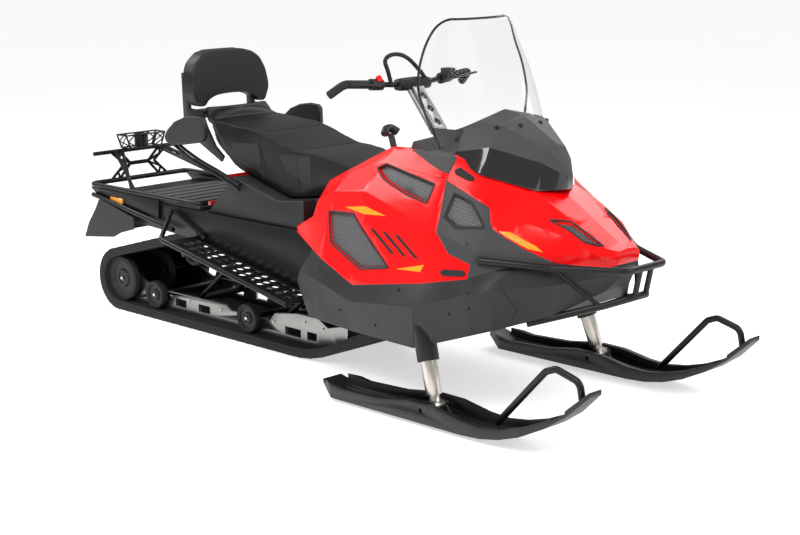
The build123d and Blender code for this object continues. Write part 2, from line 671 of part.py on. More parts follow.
def cowl_and_lens():
    lens_sections = []
    top_sections = []
    for i, (x, foot_y, foot_z, lip_y, lip_z, top_y, top_z, ridge) in enumerate(COWL):
        if i >= LENS_FROM:
            lens_sections.append((x, [(foot_y, foot_z), (lip_y, lip_z)]))
        low_z = lip_z if i >= LENS_FROM else foot_z
        top_sections.append((x, [(lip_y, low_z), (top_y, top_z), (0, ridge)]))
    return skin(top_sections), skin(lens_sections)


def vents(upper, outlines, axis):
    """The recesses for one group of vents, and the screens that lie in them."""
    near = (-SIDE, -CONSOLE_HALF) if axis == "y" else (INSERT_FOOT, HEIGHT)
    holes = [prism(outline, *near, axis) for outline in outlines]
    front = skin(body_stations(SPLIT, CROWN_END, VENT_DEEP - VENT_SCREEN))
    back = skin(body_stations(SPLIT, CROWN_END, VENT_DEEP))
    recesses = [(hole & upper) - back for hole in holes]
    return recesses, [recess & front for recess in recesses]


def body():
    upper = skin(body_stations(SPLIT, CROWN_END, 0))
    belly = skin(body_stations(0, SPLIT + 1, 0))
    bay = box(TUNNEL_FRONT + SEAT_GAP, BAY_FRONT, -SIDE, SIDE, BAY_FLOOR, HEIGHT)
    upper_bay = skin(body_stations(SPLIT, CROWN_END, SHELL)) & bay
    belly_bay = skin(body_stations(0, SPLIT + 1, SHELL)) & bay
    room = TUNNEL_OUT + SEAT_GAP
    tunnel_room = box(PANEL_REAR - SHELL, TUNNEL_FRONT + SEAT_GAP, -room, room, 0, TUNNEL_TOP + SEAT_GAP)
    cowl, lens = cowl_and_lens()
    behind = PANEL_REAR - SIDE
    rear_cut = prism(BELLY_REAR + ((behind, HEIGHT), (behind, 0), (BELLY_REAR[0][0], 0)), -SIDE, SIDE, "y")
    belly = belly - belly_bay - tunnel_room - rear_cut
    outer = upper - cowl - lens
    upper = outer - upper_bay - tunnel_room
    side = prism(PANEL, -SIDE, -CONSOLE_HALF, "y")
    insert = prism(INSERT, -SIDE, -CONSOLE_HALF, "y")
    insert_right = upper & insert
    panel_right = (upper & side) - insert
    middle = box(PANEL_REAR, HOOD_REAR, -CONSOLE_HALF, CONSOLE_HALF, 0, HEIGHT)
    pocket = box(PANEL_REAR, SEAT_POCKET_X, -CONSOLE_HALF, CONSOLE_HALF, 0, HEIGHT)
    console = largest((upper & middle) - pocket)
    hood = upper & box(HOOD_REAR, SKI_TIP_X, -SIDE, SIDE, 0, HEIGHT)
    hood = hood - insert - flip(insert) - side - flip(side)
    screens = []
    for recess, screen in zip(*vents(outer, PANEL_VENTS, "y")):
        panel_right -= recess
        screens += [screen, flip(screen)]
    for recess, screen in zip(*vents(outer, INSERT_VENTS, "y")):
        insert_right -= recess
        screens += [screen, flip(screen)]
    for recess, screen in zip(*vents(outer, HOOD_VENTS, "z")):
        hood = hood - recess - flip(recess)
        screens += [screen, flip(screen)]
    skin_back = skin(body_stations(SPLIT, CROWN_END, MARKER_DEEP))
    marker = (prism(MARKER, -SIDE, -CONSOLE_HALF, "y") & outer) - skin_back
    hood = hood - marker - flip(marker)
    insert_right = insert_right - marker
    return dict(belly=belly, hood=hood, console=console, panel_right=panel_right, insert_right=insert_right,
                cowl=cowl, lens=lens, screens=screens, marker=marker)


def body_pieces(pieces):
    axis_hole = rod(steer_point(-POST_BELOW - RISER_FROM), steer_point(RISER_LENGTH), POST + SEAT_GAP)
    panel = pieces["panel_right"]
    insert = pieces["insert_right"]
    save("bellypan", pieces["belly"] - sleeve_room())
    save("hood", pieces["hood"])
    save("side_panels", panel, flip(panel))
    save("side_inserts", insert, flip(insert))
    save("vent_screens", *pieces["screens"])
    save("console", pieces["console"] - axis_hole)
    save("cowl", pieces["cowl"] - axis_hole)
    save("headlight_lens", pieces["lens"])
    windshield(pieces["cowl"], pieces["lens"])
    length, width, height = ENGINE
    save("engine_block", box(ENGINE_X - length / 2, ENGINE_X + length / 2, -width / 2, width / 2,
                             BAY_FLOOR, BAY_FLOOR + height))
    rear_x, length, foot, height, deep = REFLECTOR
    plate_y = TUNNEL_OUT + SEAT_GAP + PLATE
    reflector = box(rear_x, rear_x + length, -plate_y - deep, -plate_y, foot, foot + height)
    reflector -= lower_rail(LOWER_TUBE + 2 * SEAT_GAP)
    marker = pieces["marker"]
    save("reflectors", reflector, flip(reflector), marker, flip(marker))


def windshield(cowl, lens):
    def line(z, side_x, side_y, corner_x, corner_y, radius, inset):
        half = ((side_x, -side_y + inset, z), (corner_x - inset, -corner_y + inset / 2, z))
        return FilletPolyline(*both(half), radius=radius - inset)

    def band(z, *sizes):
        outer = line(z, *sizes, 0)
        inner = line(z, *sizes, SHIELD)
        ends = (Line(outer @ 0, inner @ 0), Line(outer @ 1, inner @ 1))
        return Face(Wire(outer.edges() + inner.edges() + list(ends)))
    sheet = loft([band(SHIELD_FOOT_Z, *SHIELD_FOOT), band(HEIGHT, *SHIELD_HEAD)], ruled=True)
    front = SHIELD_FOOT[2] + SHIELD
    sheet = sheet & prism(SHIELD_EDGE + ((front, HEIGHT), (front, SHIELD_FOOT_Z)), -SIDE, SIDE, "y")
    half = ((SHIELD_CORNER[0][0], SHIELD_FOOT_Z),) + SHIELD_CORNER
    sheet = sheet & prism(tuple((-y, z) for y, z in half) + tuple(reversed(half)), 0, front, "x")
    save("windshield", largest(sheet - cowl - lens))


# Steering


def steer_point(along):
    """A point on the steering axis, a distance up from its foot."""
    x, y, z = STEER_FOOT
    return (x - along * sin(radians(STEER_LEAN)), y, z + along * cos(radians(STEER_LEAN)))


def steering():
    up = Vector(*steer_point(1)) - Vector(*STEER_FOOT)
    plane = Plane(origin=steer_point(RISER_FROM), x_dir=(0, 1, 0), z_dir=up)
    riser = plane * Box(RISER_WIDTH, RISER_DEEP, RISER_LENGTH, align=(Align.CENTER, Align.CENTER, Align.MIN))
    for i in range(RISER_HOLES):
        place = Pos(0, 0, RISER_LENGTH * (i + 0.6) / (RISER_HOLES + 1)) * Rot(90, 0, 0)
        riser -= plane * place * Cylinder(RISER_WIDTH / 4, RISER_DEEP * 2)
    riser += rod(steer_point(-POST_BELOW), steer_point(RISER_FROM), POST)
    middle = Vector(*steer_point(BAR_ALONG))
    half = [tuple(middle + Vector(*p)) for p in BAR_POINTS]
    bar = pipe(both(half), BAR, BAR_BEND)
    save("steering_riser", riser - bar)
    save("handlebar", bar)
    end, corner, root = (Vector(*p) for p in half)
    inward = (root - corner).normalized()
    grip_end = corner + inward * GRIP_LENGTH
    grip = pipe((tuple(end), tuple(corner), tuple(grip_end)), GRIP, BAR_BEND) - bar
    save("grips", grip, flip(grip))
    pod_from = grip_end + inward * SEAT_GAP
    pod_to = pod_from + inward * POD_LENGTH
    ahead = Vector(LEVER_OUT, 0, 0)
    pod = rod(tuple(pod_from), tuple(pod_to), POD)
    pod += rod(tuple(pod_from + inward * LEVER), tuple(pod_from + inward * LEVER + ahead), LEVER)
    pod += rod(tuple(pod_from + inward * LEVER + ahead), tuple(corner + ahead), LEVER)
    pod -= bar
    tank_at = between(tuple(pod_from), tuple(pod_to), 0.5)
    tank = Pos(*tank_at) * Pos(TANK[0] / 2, 0, TANK[2] / 2) * Box(*TANK)
    save("bar_controls", pod, flip(pod + tank - bar))
    pad = Pos(*tuple(middle)) * Box(*BAR_PAD)
    save("bar_pad", pad - bar - riser)


# Skis


def strut_axis():
    """Upward direction of the right strut, leaning back and inward."""
    return Vector(-tan(radians(STRUT_CASTER)), tan(radians(STRUT_LEAN)), 1).normalized()


def strut_point(along):
    """A point on the right strut's axis, a distance up from the ski pin."""
    p = Vector(SKI_PIN[0], -SKI_STANCE / 2, SKI_PIN[1]) + strut_axis() * along
    return (p.X, p.Y, p.Z)


def sleeve_room():
    """Where both strut sleeves pass into the belly."""
    sleeve = rod(strut_point(SLEEVE_FROM), strut_point(STRUT_TO + SLEEVE_CAP + SEAT_GAP), SLEEVE + SEAT_GAP)
    return sleeve + flip(sleeve)


def pin_rod(half, size):
    """A round bar along the right ski's pin."""
    x, z = SKI_PIN
    y = -SKI_STANCE / 2
    return rod((x, y - half, z), (x, y + half, z), size)


def ski_bend(x, up):
    """Height of the curved front of a ski, a distance up from its sole."""
    run = SKI_TIP_X - SKI_BEND_X
    radius = (run**2 + SKI_TIP_RISE**2) / (2 * SKI_TIP_RISE)
    return SKI_KEEL + radius - sqrt((radius - up)**2 - (x - SKI_BEND_X)**2)


def ski_hull():
    y = -SKI_STANCE / 2
    sole = SKI_KEEL
    tail = sole + SKI_TAIL_RISE
    flat_x = SKI_TAIL_X + SKI_TAIL_RUN
    front = [SKI_BEND_X + (SKI_TIP_X - SKI_BEND_X) * i / SKI_STEPS for i in range(1, SKI_STEPS + 1)]
    lip_from, lip_to = SKI_FRONT_LIPS
    below = [(SKI_TAIL_X, tail), (flat_x, sole), (SKI_BEND_X, sole)] + [(x, ski_bend(x, 0)) for x in front]
    above = []
    for i, x in enumerate(front, 1):
        above.insert(0, (x, ski_bend(x, 0) + lip_from + (lip_to - lip_from) * i / SKI_STEPS))
    above += [(x, sole + high) for x, high in reversed(SKI_LIPS[1:])] + [(SKI_TAIL_X, tail + SKI_LIPS[0][1])]
    hull = prism(below + above, y - SKI_WIDTH / 2, y + SKI_WIDTH / 2, "y")
    behind = SKI_TAIL_X - SKI_SOLE
    trough = [(behind, tail + SKI_SOLE), (SKI_TAIL_X, tail + SKI_SOLE), (flat_x, sole + SKI_SOLE),
              (SKI_BEND_X, sole + SKI_SOLE)]
    trough += [(x, ski_bend(x, 0) + SKI_SOLE) for x in front[:-1]]
    trough += [(front[-2], SIDE), (behind, SIDE)]
    inner = SKI_WIDTH / 2 - SKI_WALL
    hull -= prism(trough, y - inner, y + inner, "y")
    wide = SKI_WIDTH / 2
    # half width of the ski from above: x, y
    half = ((SKI_TAIL_X, SKI_TAIL_HALF), (SKI_TAIL_X + SKI_TAIL_RUN, wide), (SKI_TIP_X - SKI_TAPER, wide),
            (SKI_TIP_X, SKI_TIP_HALF))
    plan = [(x, y - w) for x, w in half] + [(x, y + w) for x, w in reversed(half)]
    hull = hull & prism(plan, 0, SIDE, "z")
    keel_rear, keel_front = SKI_KEEL_X
    ramp_x = keel_front + SKI_KEEL_RAMP
    keel = ((keel_rear, sole), (keel_rear + SKI_KEEL, 0), (keel_front, 0), (ramp_x, ski_bend(ramp_x, 0)))
    hull += prism(keel, y - SKI_KEEL_WIDTH / 2, y + SKI_KEEL_WIDTH / 2, "y")
    pin_x, pin_z = SKI_PIN
    ear_foot = sole + SKI_SOLE / 2
    outline = ((pin_x - SKI_EAR_FOOT, ear_foot), (pin_x + SKI_EAR_FOOT, ear_foot),
               (pin_x + SKI_EAR_RADIUS, pin_z), (pin_x - SKI_EAR_RADIUS, pin_z))
    near = FOOT_WIDTH / 2 + FOOT_PLAY
    for a, b in ((y - near - SKI_EAR, y - near), (y + near, y + near + SKI_EAR)):
        hull += prism(outline, a, b, "y") + rod((pin_x, a, pin_z), (pin_x, b, pin_z), 2 * SKI_EAR_RADIUS)
    return hull - pin_rod(SKI_WIDTH, SKI_PIN_SIZE + SEAT_GAP)


def ski():
    y = -SKI_STANCE / 2
    hull = ski_hull()
    loop_path = [(SKI_TIP_X + x, y, SKI_KEEL + z) for x, z in SKI_LOOP_POINTS]
    loop = pipe(loop_path, SKI_LOOP, SKI_LOOP_BEND) - hull
    spindle = rod(strut_point(STRUT_FROM), strut_point(STRUT_TO), STRUT)
    spindle += rod(strut_point(SKI_EAR_RADIUS / 2), strut_point(STRUT_FROM), STRUT_NECK)
    spindle += pin_rod(FOOT_WIDTH / 2, 2 * SKI_EAR_RADIUS)
    spindle += pin_rod(FOOT_WIDTH / 2 + FOOT_PLAY + SKI_EAR + SKI_PIN_END, SKI_PIN_SIZE)
    sleeve = rod(strut_point(SLEEVE_FROM), strut_point(STRUT_TO + SLEEVE_CAP), SLEEVE)
    sleeve -= rod(strut_point(SLEEVE_FROM - STRUT), strut_point(STRUT_TO + SKI_PIN_END), STRUT + 2 * SEAT_GAP)
    save("strut_sleeves", sleeve, flip(sleeve))
    for side, turn in (("right", lambda s: s), ("left", flip)):
        save(f"ski_{side}", turn(hull))
        save(f"ski_loop_{side}", turn(loop))
        save(f"spindle_{side}", turn(spindle))


# Seat and backrest


def seat_cushion():
    half = CONSOLE_HALF - SEAT_GAP
    outline = [(x, z + SEAT_GAP) for x, z in SEAT]
    cushion = prism(outline, -SIDE, SIDE, "y") & box(REAR_X, SEAT_POCKET_X - SEAT_GAP, -SIDE, SIDE, 0, HEIGHT)
    plan = [(x, -y) for x, y in SEAT_PLAN] + [(x, y) for x, y in reversed(SEAT_PLAN)]
    cushion = cushion & prism(plan, 0, HEIGHT, "z")
    return cushion - seat_walls(half)


def seat_walls(half):
    """What the side panels take up beside the seat."""
    wall = box(PANEL_REAR, SEAT_POCKET_X + SEAT_GAP, -SIDE, -half, 0, HEIGHT)
    return wall + flip(wall)


def backrest_pad():
    lean = Vector(BACK_HEAD[0] - BACK_FOOT[0], 0, BACK_HEAD[1] - BACK_FOOT[1])
    plane = Plane(origin=(BACK_FOOT[0], 0, BACK_FOOT[1]), x_dir=(0, 1, 0), z_dir=Vector(0, 1, 0).cross(lean))
    outline = Rectangle(2 * BACK_HALF, lean.length)
    outline = fillet(outline.vertices().sort_by(Axis.Y)[-2:], BACK_TOP_CORNER)
    outline = fillet(outline.vertices().sort_by(Axis.Y)[:2], BACK_LOW_CORNER)
    arch_half, arch_rise = BACK_ARCH
    arch = fillet(Rectangle(2 * arch_half, 2 * arch_rise).vertices(), BACK_ARCH_CORNER)
    outline -= Pos(0, -lean.length / 2) * arch
    return extrude(plane * Pos(0, lean.length / 2) * outline, amount=BACK_THICK / 2, both=True)


def seat():
    base = prism(SEAT_BASE, -BASE_HALF, BASE_HALF, "y") - seat_walls(CONSOLE_HALF - SEAT_GAP)
    save("seat_base", base)
    cushion = seat_cushion()
    save("seat_cushion", cushion)
    pad = backrest_pad()
    save("backrest_pad", pad)
    plate = prism(BRACKET, -BRACKET_Y - BRACKET_PLATE, -BRACKET_Y, "y") - pad - cushion
    rear, front, low, high = BRACKET_TIE
    save("backrest_bracket", plate + flip(plate) + box(rear, front, -BRACKET_Y, BRACKET_Y, low, high))
    wall = BASE_HALF + HANDLE_TUBE / 2 + SEAT_GAP
    points = [(x, -wall - out, z) for x, out, z in HANDLE_POINTS]
    handle = pipe(points, HANDLE_TUBE, HANDLE_BEND)
    guard_y = points[-1][1]
    handle += prism(GUARD, guard_y - GUARD_THICK / 2, guard_y + GUARD_THICK / 2, "y")
    save("grab_handles", handle, flip(handle))
    top, foot = SEAT_BASE[-2:]
    run = hypot(foot[0] - top[0], foot[1] - top[1])
    out_x, out_z = (foot[1] - top[1]) / run * LAMP_DEEP, (top[0] - foot[0]) / run * LAMP_DEEP
    near, far = (between(top, foot, share) for share in LAMP_SHARE)
    lamp = (near, far, (far[0] + out_x, far[1] + out_z), (near[0] + out_x, near[1] + out_z))
    save("tail_light", prism(lamp, -LAMP_HALF, LAMP_HALF, "y"))


def bumper(pieces):
    hoop = pipe(both(BUMPER_UPPER), BUMPER_TUBE, BUMPER_BEND)
    hoop += pipe(both(BUMPER_LOWER), BUMPER_TUBE, BUMPER_BEND)
    upper_x, upper_z = BUMPER_UPPER[-1][0], BUMPER_UPPER[-1][2]
    lower_x, lower_z = BUMPER_LOWER[-1][0], BUMPER_LOWER[-1][2]
    brace = rod(between(BUMPER_UPPER[1], BUMPER_UPPER[2], BRACE_AT[0]),
                between(BUMPER_LOWER[0], BUMPER_LOWER[1], BRACE_AT[1]), BUMPER_BRACE)
    hoop += brace + flip(brace)
    for sign in (-1, 1):
        y = sign * BUMPER_POST_Y
        hoop += rod((upper_x, y, upper_z), (lower_x, y, lower_z), BUMPER_POST)
    for name in ("belly", "insert_right", "hood"):
        hoop = hoop - pieces[name] - flip(pieces[name])
    save("front_bumper", hoop)


def main():
    os.makedirs("parts", exist_ok=True)
    save("track", track())
    wheels_inside()
    slide_rails()
    suspension()
    tunnel()
    running_board()
    rack()
    tower()
    snow_flap()
    pieces = body()
    body_pieces(pieces)
    steering()
    ski()
    seat()
    bumper(pieces)


main()
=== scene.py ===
from math import atan2, ceil, cos, pi, radians, sin, sqrt

import bmesh
import bpy
from mathutils import Matrix, Vector
from mathutils.bvhtree import BVHTree


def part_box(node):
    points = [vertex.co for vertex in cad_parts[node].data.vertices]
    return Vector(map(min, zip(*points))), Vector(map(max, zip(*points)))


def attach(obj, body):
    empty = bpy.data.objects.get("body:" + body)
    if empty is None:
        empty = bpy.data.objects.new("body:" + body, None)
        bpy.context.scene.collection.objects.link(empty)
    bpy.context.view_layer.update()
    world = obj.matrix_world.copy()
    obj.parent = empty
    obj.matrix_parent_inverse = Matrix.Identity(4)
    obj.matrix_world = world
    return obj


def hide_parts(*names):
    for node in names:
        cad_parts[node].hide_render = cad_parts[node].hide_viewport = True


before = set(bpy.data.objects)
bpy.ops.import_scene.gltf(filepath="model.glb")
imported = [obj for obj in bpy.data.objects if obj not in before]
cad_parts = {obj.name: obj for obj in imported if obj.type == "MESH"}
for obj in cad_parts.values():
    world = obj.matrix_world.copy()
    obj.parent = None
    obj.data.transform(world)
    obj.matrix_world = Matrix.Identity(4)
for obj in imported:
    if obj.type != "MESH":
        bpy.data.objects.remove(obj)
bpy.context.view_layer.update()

bl_info = {
    "name": "Snowmobile",
    "version": (1, 0, 0),
    "blender": (4, 5, 0),
    "location": "View3D > Sidebar > Snowmobile",
    "description": "Finishes, upholstery, glazing and trim of a two-seat utility snowmobile",
    "category": "Object",
}

# Everything is in metres: X forward, Y to the rider's left, Z up, ground at zero.
MM = 0.001
WELD = 0.02 * MM


def linear(code):
    """An sRGB hex colour as linear red, green and blue."""
    parts = [int(code[i:i + 2], 16) / 255 for i in (0, 2, 4)]
    return tuple(c / 12.92 if c <= 0.04045 else ((c + 0.055) / 1.055) ** 2.4 for c in parts)


def mm(*values):
    """Millimetres to metres."""
    return Vector(values) * MM


# Settings that a user would change


class SnowmobileColours(bpy.types.PropertyGroup):
    """Colours of the painted and moulded pieces."""
    panel_red: bpy.props.FloatVectorProperty(
        name="Panel red", description="Glossy hood and side panels", subtype="COLOR",
        default=linear("EC070A"))
    insert_grey: bpy.props.FloatVectorProperty(
        name="Insert grey", description="Grained plastic inserts", subtype="COLOR", default=linear("333335"))
    black: bpy.props.FloatVectorProperty(
        name="Black", description="Belly, skis and seat base", subtype="COLOR", default=linear("18181A"))
    amber: bpy.props.FloatVectorProperty(
        name="Amber", description="Reflectors and stripes", subtype="COLOR", default=linear("F59A12"))


class SnowmobileSizes(bpy.types.PropertyGroup):
    """Sizes of trim and upholstery."""
    panel_edge: bpy.props.FloatProperty(
        name="Panel edge", description="Rounding of the body panels", unit="LENGTH", default=6 * MM)
    seam: bpy.props.FloatProperty(
        name="Seam", description="Radius of the welted seams", unit="LENGTH", default=2.2 * MM)
    pad_voxel: bpy.props.FloatProperty(
        name="Pad mesh", description="Mesh size of the padded pieces", unit="LENGTH", default=9 * MM)
    pad_swell: bpy.props.FloatProperty(
        name="Pad swell", description="How far a pad may swell", unit="LENGTH", default=14 * MM)
    shield_rim: bpy.props.FloatProperty(
        name="Shield rim", description="Radius of the windshield's edge trim", unit="LENGTH", default=5 * MM)
    camera_distance: bpy.props.FloatProperty(
        name="Camera distance", description="From the camera to its target", unit="LENGTH", default=6.9059)


def colours():
    return bpy.context.scene.snowmobile_colours


def sizes():
    return bpy.context.scene.snowmobile_sizes


# Materials


def add(tree, kind, inputs=None, **settings):
    """Adds a shader node, sets its properties, and fills its inputs with values or links."""
    item = tree.nodes.new(kind)
    for name, value in settings.items():
        setattr(item, name, value)
    for name, value in (inputs or {}).items():
        if isinstance(value, bpy.types.NodeSocket):
            tree.links.new(value, item.inputs[name])
        else:
            item.inputs[name].default_value = value
    return item


def surface(name, tones, patch_mm, rough, grain_mm, bump, stretch=(1, 1, 1), **constants):
    """A finish with mottled tone and sheen and a fine grain. The pattern sizes are in millimetres."""
    if name in bpy.data.materials:
        return bpy.data.materials[name]
    item = bpy.data.materials.new(name)
    item.use_nodes = True
    tree = item.node_tree
    shader = tree.nodes["Principled BSDF"]
    for socket, value in constants.items():
        shader.inputs[socket.replace("_", " ").title().replace("Ior", "IOR")].default_value = value
    place = add(tree, "ShaderNodeTexCoord").outputs["Object"]
    place = add(tree, "ShaderNodeMapping", {"Vector": place, "Scale": stretch}).outputs["Vector"]
    mottle = add(tree, "ShaderNodeTexNoise", {"Vector": place, "Scale": 1 / (patch_mm * MM), "Detail": 4.0})
    tone = add(tree, "ShaderNodeMix", {"Factor": mottle.outputs["Fac"]}, data_type="RGBA")
    tone.inputs["A"].default_value = (*tones[0], 1)
    tone.inputs["B"].default_value = (*tones[1], 1)
    tree.links.new(tone.outputs["Result"], shader.inputs["Base Color"])
    sheen = add(tree, "ShaderNodeMapRange",
                {"Value": mottle.outputs["Fac"], "To Min": rough[0], "To Max": rough[1]})
    tree.links.new(sheen.outputs["Result"], shader.inputs["Roughness"])
    grain = add(tree, "ShaderNodeTexNoise", {"Vector": place, "Scale": 1 / (grain_mm * MM), "Detail": 3.0})
    relief = add(tree, "ShaderNodeBump",
                 {"Height": grain.outputs["Fac"], "Strength": bump, "Distance": grain_mm * MM})
    tree.links.new(relief.outputs["Normal"], shader.inputs["Normal"])
    return item


def two_tones(colour, low, high):
    """A colour darkened and lightened, for a mottled finish."""
    return tuple(c * low for c in colour), tuple(c * high for c in colour)


def red_gloss_abs():
    # Moulded ABS with a clear gloss: even red, a wet highlight and a faint orange peel
    red = tuple(colours().panel_red)
    return surface("red_gloss_abs", two_tones(red, 0.93, 1.0), 300, (0.2, 0.26), 14, 0.012, coat_weight=0.1,
                   coat_roughness=0.08, specular_ior_level=0.22)


def grey_grained_polypropylene():
    # Unpainted polypropylene with a moulded leather grain: dull, with a soft grey sheen on its edges
    grey = tuple(colours().insert_grey)
    return surface("grey_grained_polypropylene", two_tones(grey, 0.82, 1.15), 60, (0.5, 0.62), 2.4, 0.22)


def black_grained_polypropylene():
    # The same moulding in black: nearly matte, a shade lighter where it has been rubbed
    black = tuple(colours().black)
    return surface("black_grained_polypropylene", two_tones(black, 0.8, 1.3), 70, (0.46, 0.6), 2.4, 0.2)


def deck_polypropylene():
    # The rack's slatted deck: paler polypropylene, scuffed dull by loads
    grey = linear("4C4C4E")
    return surface("deck_polypropylene", two_tones(grey, 0.8, 1.2), 60, (0.55, 0.68), 3.0, 0.2)


def black_powder_coat():
    # Powder coat on steel tube: satin black with the slight pebble of the baked powder
    black = linear("0D0D0E")
    return surface("black_powder_coat", two_tones(black, 0.8, 1.25), 90, (0.34, 0.44), 1.6, 0.1,
                   specular_ior_level=0.35)


def ski_polyethylene():
    # Ski-grade polyethylene: waxy black with long scuffs along the ski
    black = linear("111112")
    return surface("ski_polyethylene", two_tones(black, 0.7, 1.6), 120, (0.36, 0.56), 6, 0.06,
                   stretch=(0.12, 1, 1))


def black_rubber():
    # Vulcanised rubber: dull charcoal with a dry bloom and a coarse mould skin
    black = linear("151515")
    return surface("black_rubber", two_tones(black, 0.6, 1.4), 45, (0.66, 0.82), 3.0, 0.25)


def brushed_aluminium():
    # Extruded aluminium: dull silver, with fine lengthwise draw lines
    return surface("brushed_aluminium", (linear("8F8F8D"), linear("ABABA8")), 50, (0.3, 0.42), 2.0, 0.06,
                   stretch=(0.05, 1, 1), metallic=1.0)


def zinc_plated_steel():
    # Zinc plate: pale grey metal with a slight warm cast and cloudy sheen
    return surface("zinc_plated_steel", (linear("B7B1A8"), linear("DAD6CE")), 25, (0.24, 0.36), 1.2, 0.04,
                   metallic=1.0)


def cast_alloy():
    # Sand-cast engine alloy: grey and pebbled
    return surface("cast_alloy", (linear("6E6E6C"), linear("8C8C8A")), 20, (0.5, 0.62), 2.0, 0.3,
                   metallic=1.0)


def seat_vinyl():
    # Marine vinyl over foam: black, satin, with a fine pebbled grain
    black = linear("0E0E0F")
    return surface("seat_vinyl", two_tones(black, 0.8, 1.25), 80, (0.42, 0.52), 1.8, 0.18,
                   specular_ior_level=0.35)


def seat_grip_vinyl():
    # The lighter grip vinyl let into the sides: coarser grain, drier look
    black = linear("1E1E20")
    return surface("seat_vinyl_grip", two_tones(black, 0.75, 1.25), 30, (0.58, 0.7), 3.2, 0.4)


def welt_cord():
    # Vinyl-covered welt along the seams: a thin, slightly glossier line
    return surface("welt_cord", (linear("080809"), linear("0F0F10")), 20, (0.34, 0.44), 1.2, 0.1)


def clear_polycarbonate():
    # Polycarbonate sheet: clear, hard-coated, a faint grey in its thickness
    return surface("clear_polycarbonate", (linear("F4F6F6"), linear("FAFBFB")), 400, (0.0, 0.02), 60, 0.0,
                   transmission_weight=1.0, ior=1.12)


def black_tint():
    # The screen-printed border of the windshield: deep black gloss
    return surface("black_tint", (linear("0C0C0D"), linear("141415")), 60, (0.12, 0.2), 8, 0.01)


def smoked_lens_painted_red_reflection():
    # Smoked acrylic over the headlamps: near black, mirror smooth; the faint red cast in its tones is a
    # painted reflection of the red panels
    return surface("smoked_lens_painted_red_reflection", (linear("0B0909"), linear("191314")), 120, (0.04, 0.08), 60, 0.005,
                   coat_weight=1.0)


def amber_reflector():
    # Moulded prismatic reflector: saturated amber with a fine facet sparkle
    amber = tuple(colours().amber)
    return surface("amber_reflector", two_tones(amber, 0.85, 1.0), 8, (0.12, 0.24), 3, 0.2, coat_weight=0.6)


def amber_film():
    # Printed vinyl film: flat amber under a thin gloss
    amber = tuple(colours().amber)
    return surface("amber_film", two_tones(amber, 0.94, 1.0), 120, (0.26, 0.34), 6, 0.01)


def black_film():
    # Printed vinyl film in charcoal
    return surface("black_film", (linear("141416"), linear("1F1F22")), 120, (0.26, 0.36), 6, 0.01)


def red_lamp_lens():
    # Tail lamp acrylic: deep red, glossy, with moulded flutes
    return surface("red_lamp_lens", (linear("8E0608"), linear("C40C10")), 6, (0.08, 0.16), 4, 0.25,
                   coat_weight=0.6)


def woven_screen():
    # Woven intake screen: grey threads over black, 11 mm apart, which is coarser than real so that it shows
    pitch = 11.0 * MM
    if "woven_screen" in bpy.data.materials:
        return bpy.data.materials["woven_screen"]
    item = bpy.data.materials.new("woven_screen")
    item.use_nodes = True
    tree = item.node_tree
    shader = tree.nodes["Principled BSDF"]
    place = add(tree, "ShaderNodeTexCoord").outputs["Object"]
    axes = add(tree, "ShaderNodeSeparateXYZ", {"Vector": place}).outputs
    # across the threads: height less the distance from the middle, alike on both sides
    out = add(tree, "ShaderNodeMath", {0: axes["Y"]}, operation="ABSOLUTE").outputs["Value"]
    down = add(tree, "ShaderNodeMath", {0: axes["Z"], 1: out}, operation="SUBTRACT").outputs["Value"]
    flat = add(tree, "ShaderNodeCombineXYZ", {"X": axes["X"], "Y": down}).outputs["Vector"]
    slanted = add(tree, "ShaderNodeMapping", {"Vector": flat, "Rotation": (0, 0, pi / 4)})
    cells = add(tree, "ShaderNodeTexVoronoi",
                {"Vector": slanted.outputs["Vector"], "Scale": 1 / pitch, "Randomness": 0.0},
                feature="DISTANCE_TO_EDGE", voronoi_dimensions="2D")
    edge = add(tree, "ShaderNodeMapRange",
               {"Value": cells.outputs["Distance"], "From Min": 0.12, "From Max": 0.2})
    tone = add(tree, "ShaderNodeMix", {"Factor": edge.outputs["Result"]}, data_type="RGBA")
    tone.inputs["A"].default_value = (*linear("6A6A6C"), 1)
    tone.inputs["B"].default_value = (*linear("1A1A1B"), 1)
    tree.links.new(tone.outputs["Result"], shader.inputs["Base Color"])
    relief = add(tree, "ShaderNodeBump",
                 {"Height": cells.outputs["Distance"], "Strength": 0.5, "Distance": 2 * MM}, invert=True)
    tree.links.new(relief.outputs["Normal"], shader.inputs["Normal"])
    shader.inputs["Roughness"].default_value = 0.55
    return item


# Making and keeping pieces


def keep(bm, name, finishes, body, slot, replaces=(), crease=35.0, round_edges=0.0, level=0):
    """Turns a bmesh into a finished piece that rides on a body."""
    bmesh.ops.remove_doubles(bm, verts=bm.verts, dist=WELD)
    bmesh.ops.recalc_face_normals(bm, faces=bm.faces)
    mesh = bpy.data.meshes.new(name)
    bm.to_mesh(mesh)
    bm.free()
    item = bpy.data.objects.new(name, mesh)
    bpy.context.scene.collection.objects.link(item)
    for finish in finishes if isinstance(finishes, (list, tuple)) else [finishes]:
        mesh.materials.append(finish)
    mesh.polygons.foreach_set("use_smooth", [True] * len(mesh.polygons))
    if round_edges:
        soften(item, round_edges, crease)
    else:
        mesh.set_sharp_from_angle(angle=radians(crease))
    if level:
        sub = item.modifiers.new("Smooth", "SUBSURF")
        sub.levels = level
        sub.render_levels = level
    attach(item, body)
    if replaces:
        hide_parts(*replaces)
    return item


def soften(item, width, crease, segments=2):
    """Rounds the edges of a piece that are sharper than an angle."""
    bevel = item.modifiers.new("Edges", "BEVEL")
    bevel.width = width
    bevel.segments = segments
    bevel.limit_method = "ANGLE"
    bevel.angle_limit = radians(crease)
    bevel.harden_normals = True
    bevel.use_clamp_overlap = True


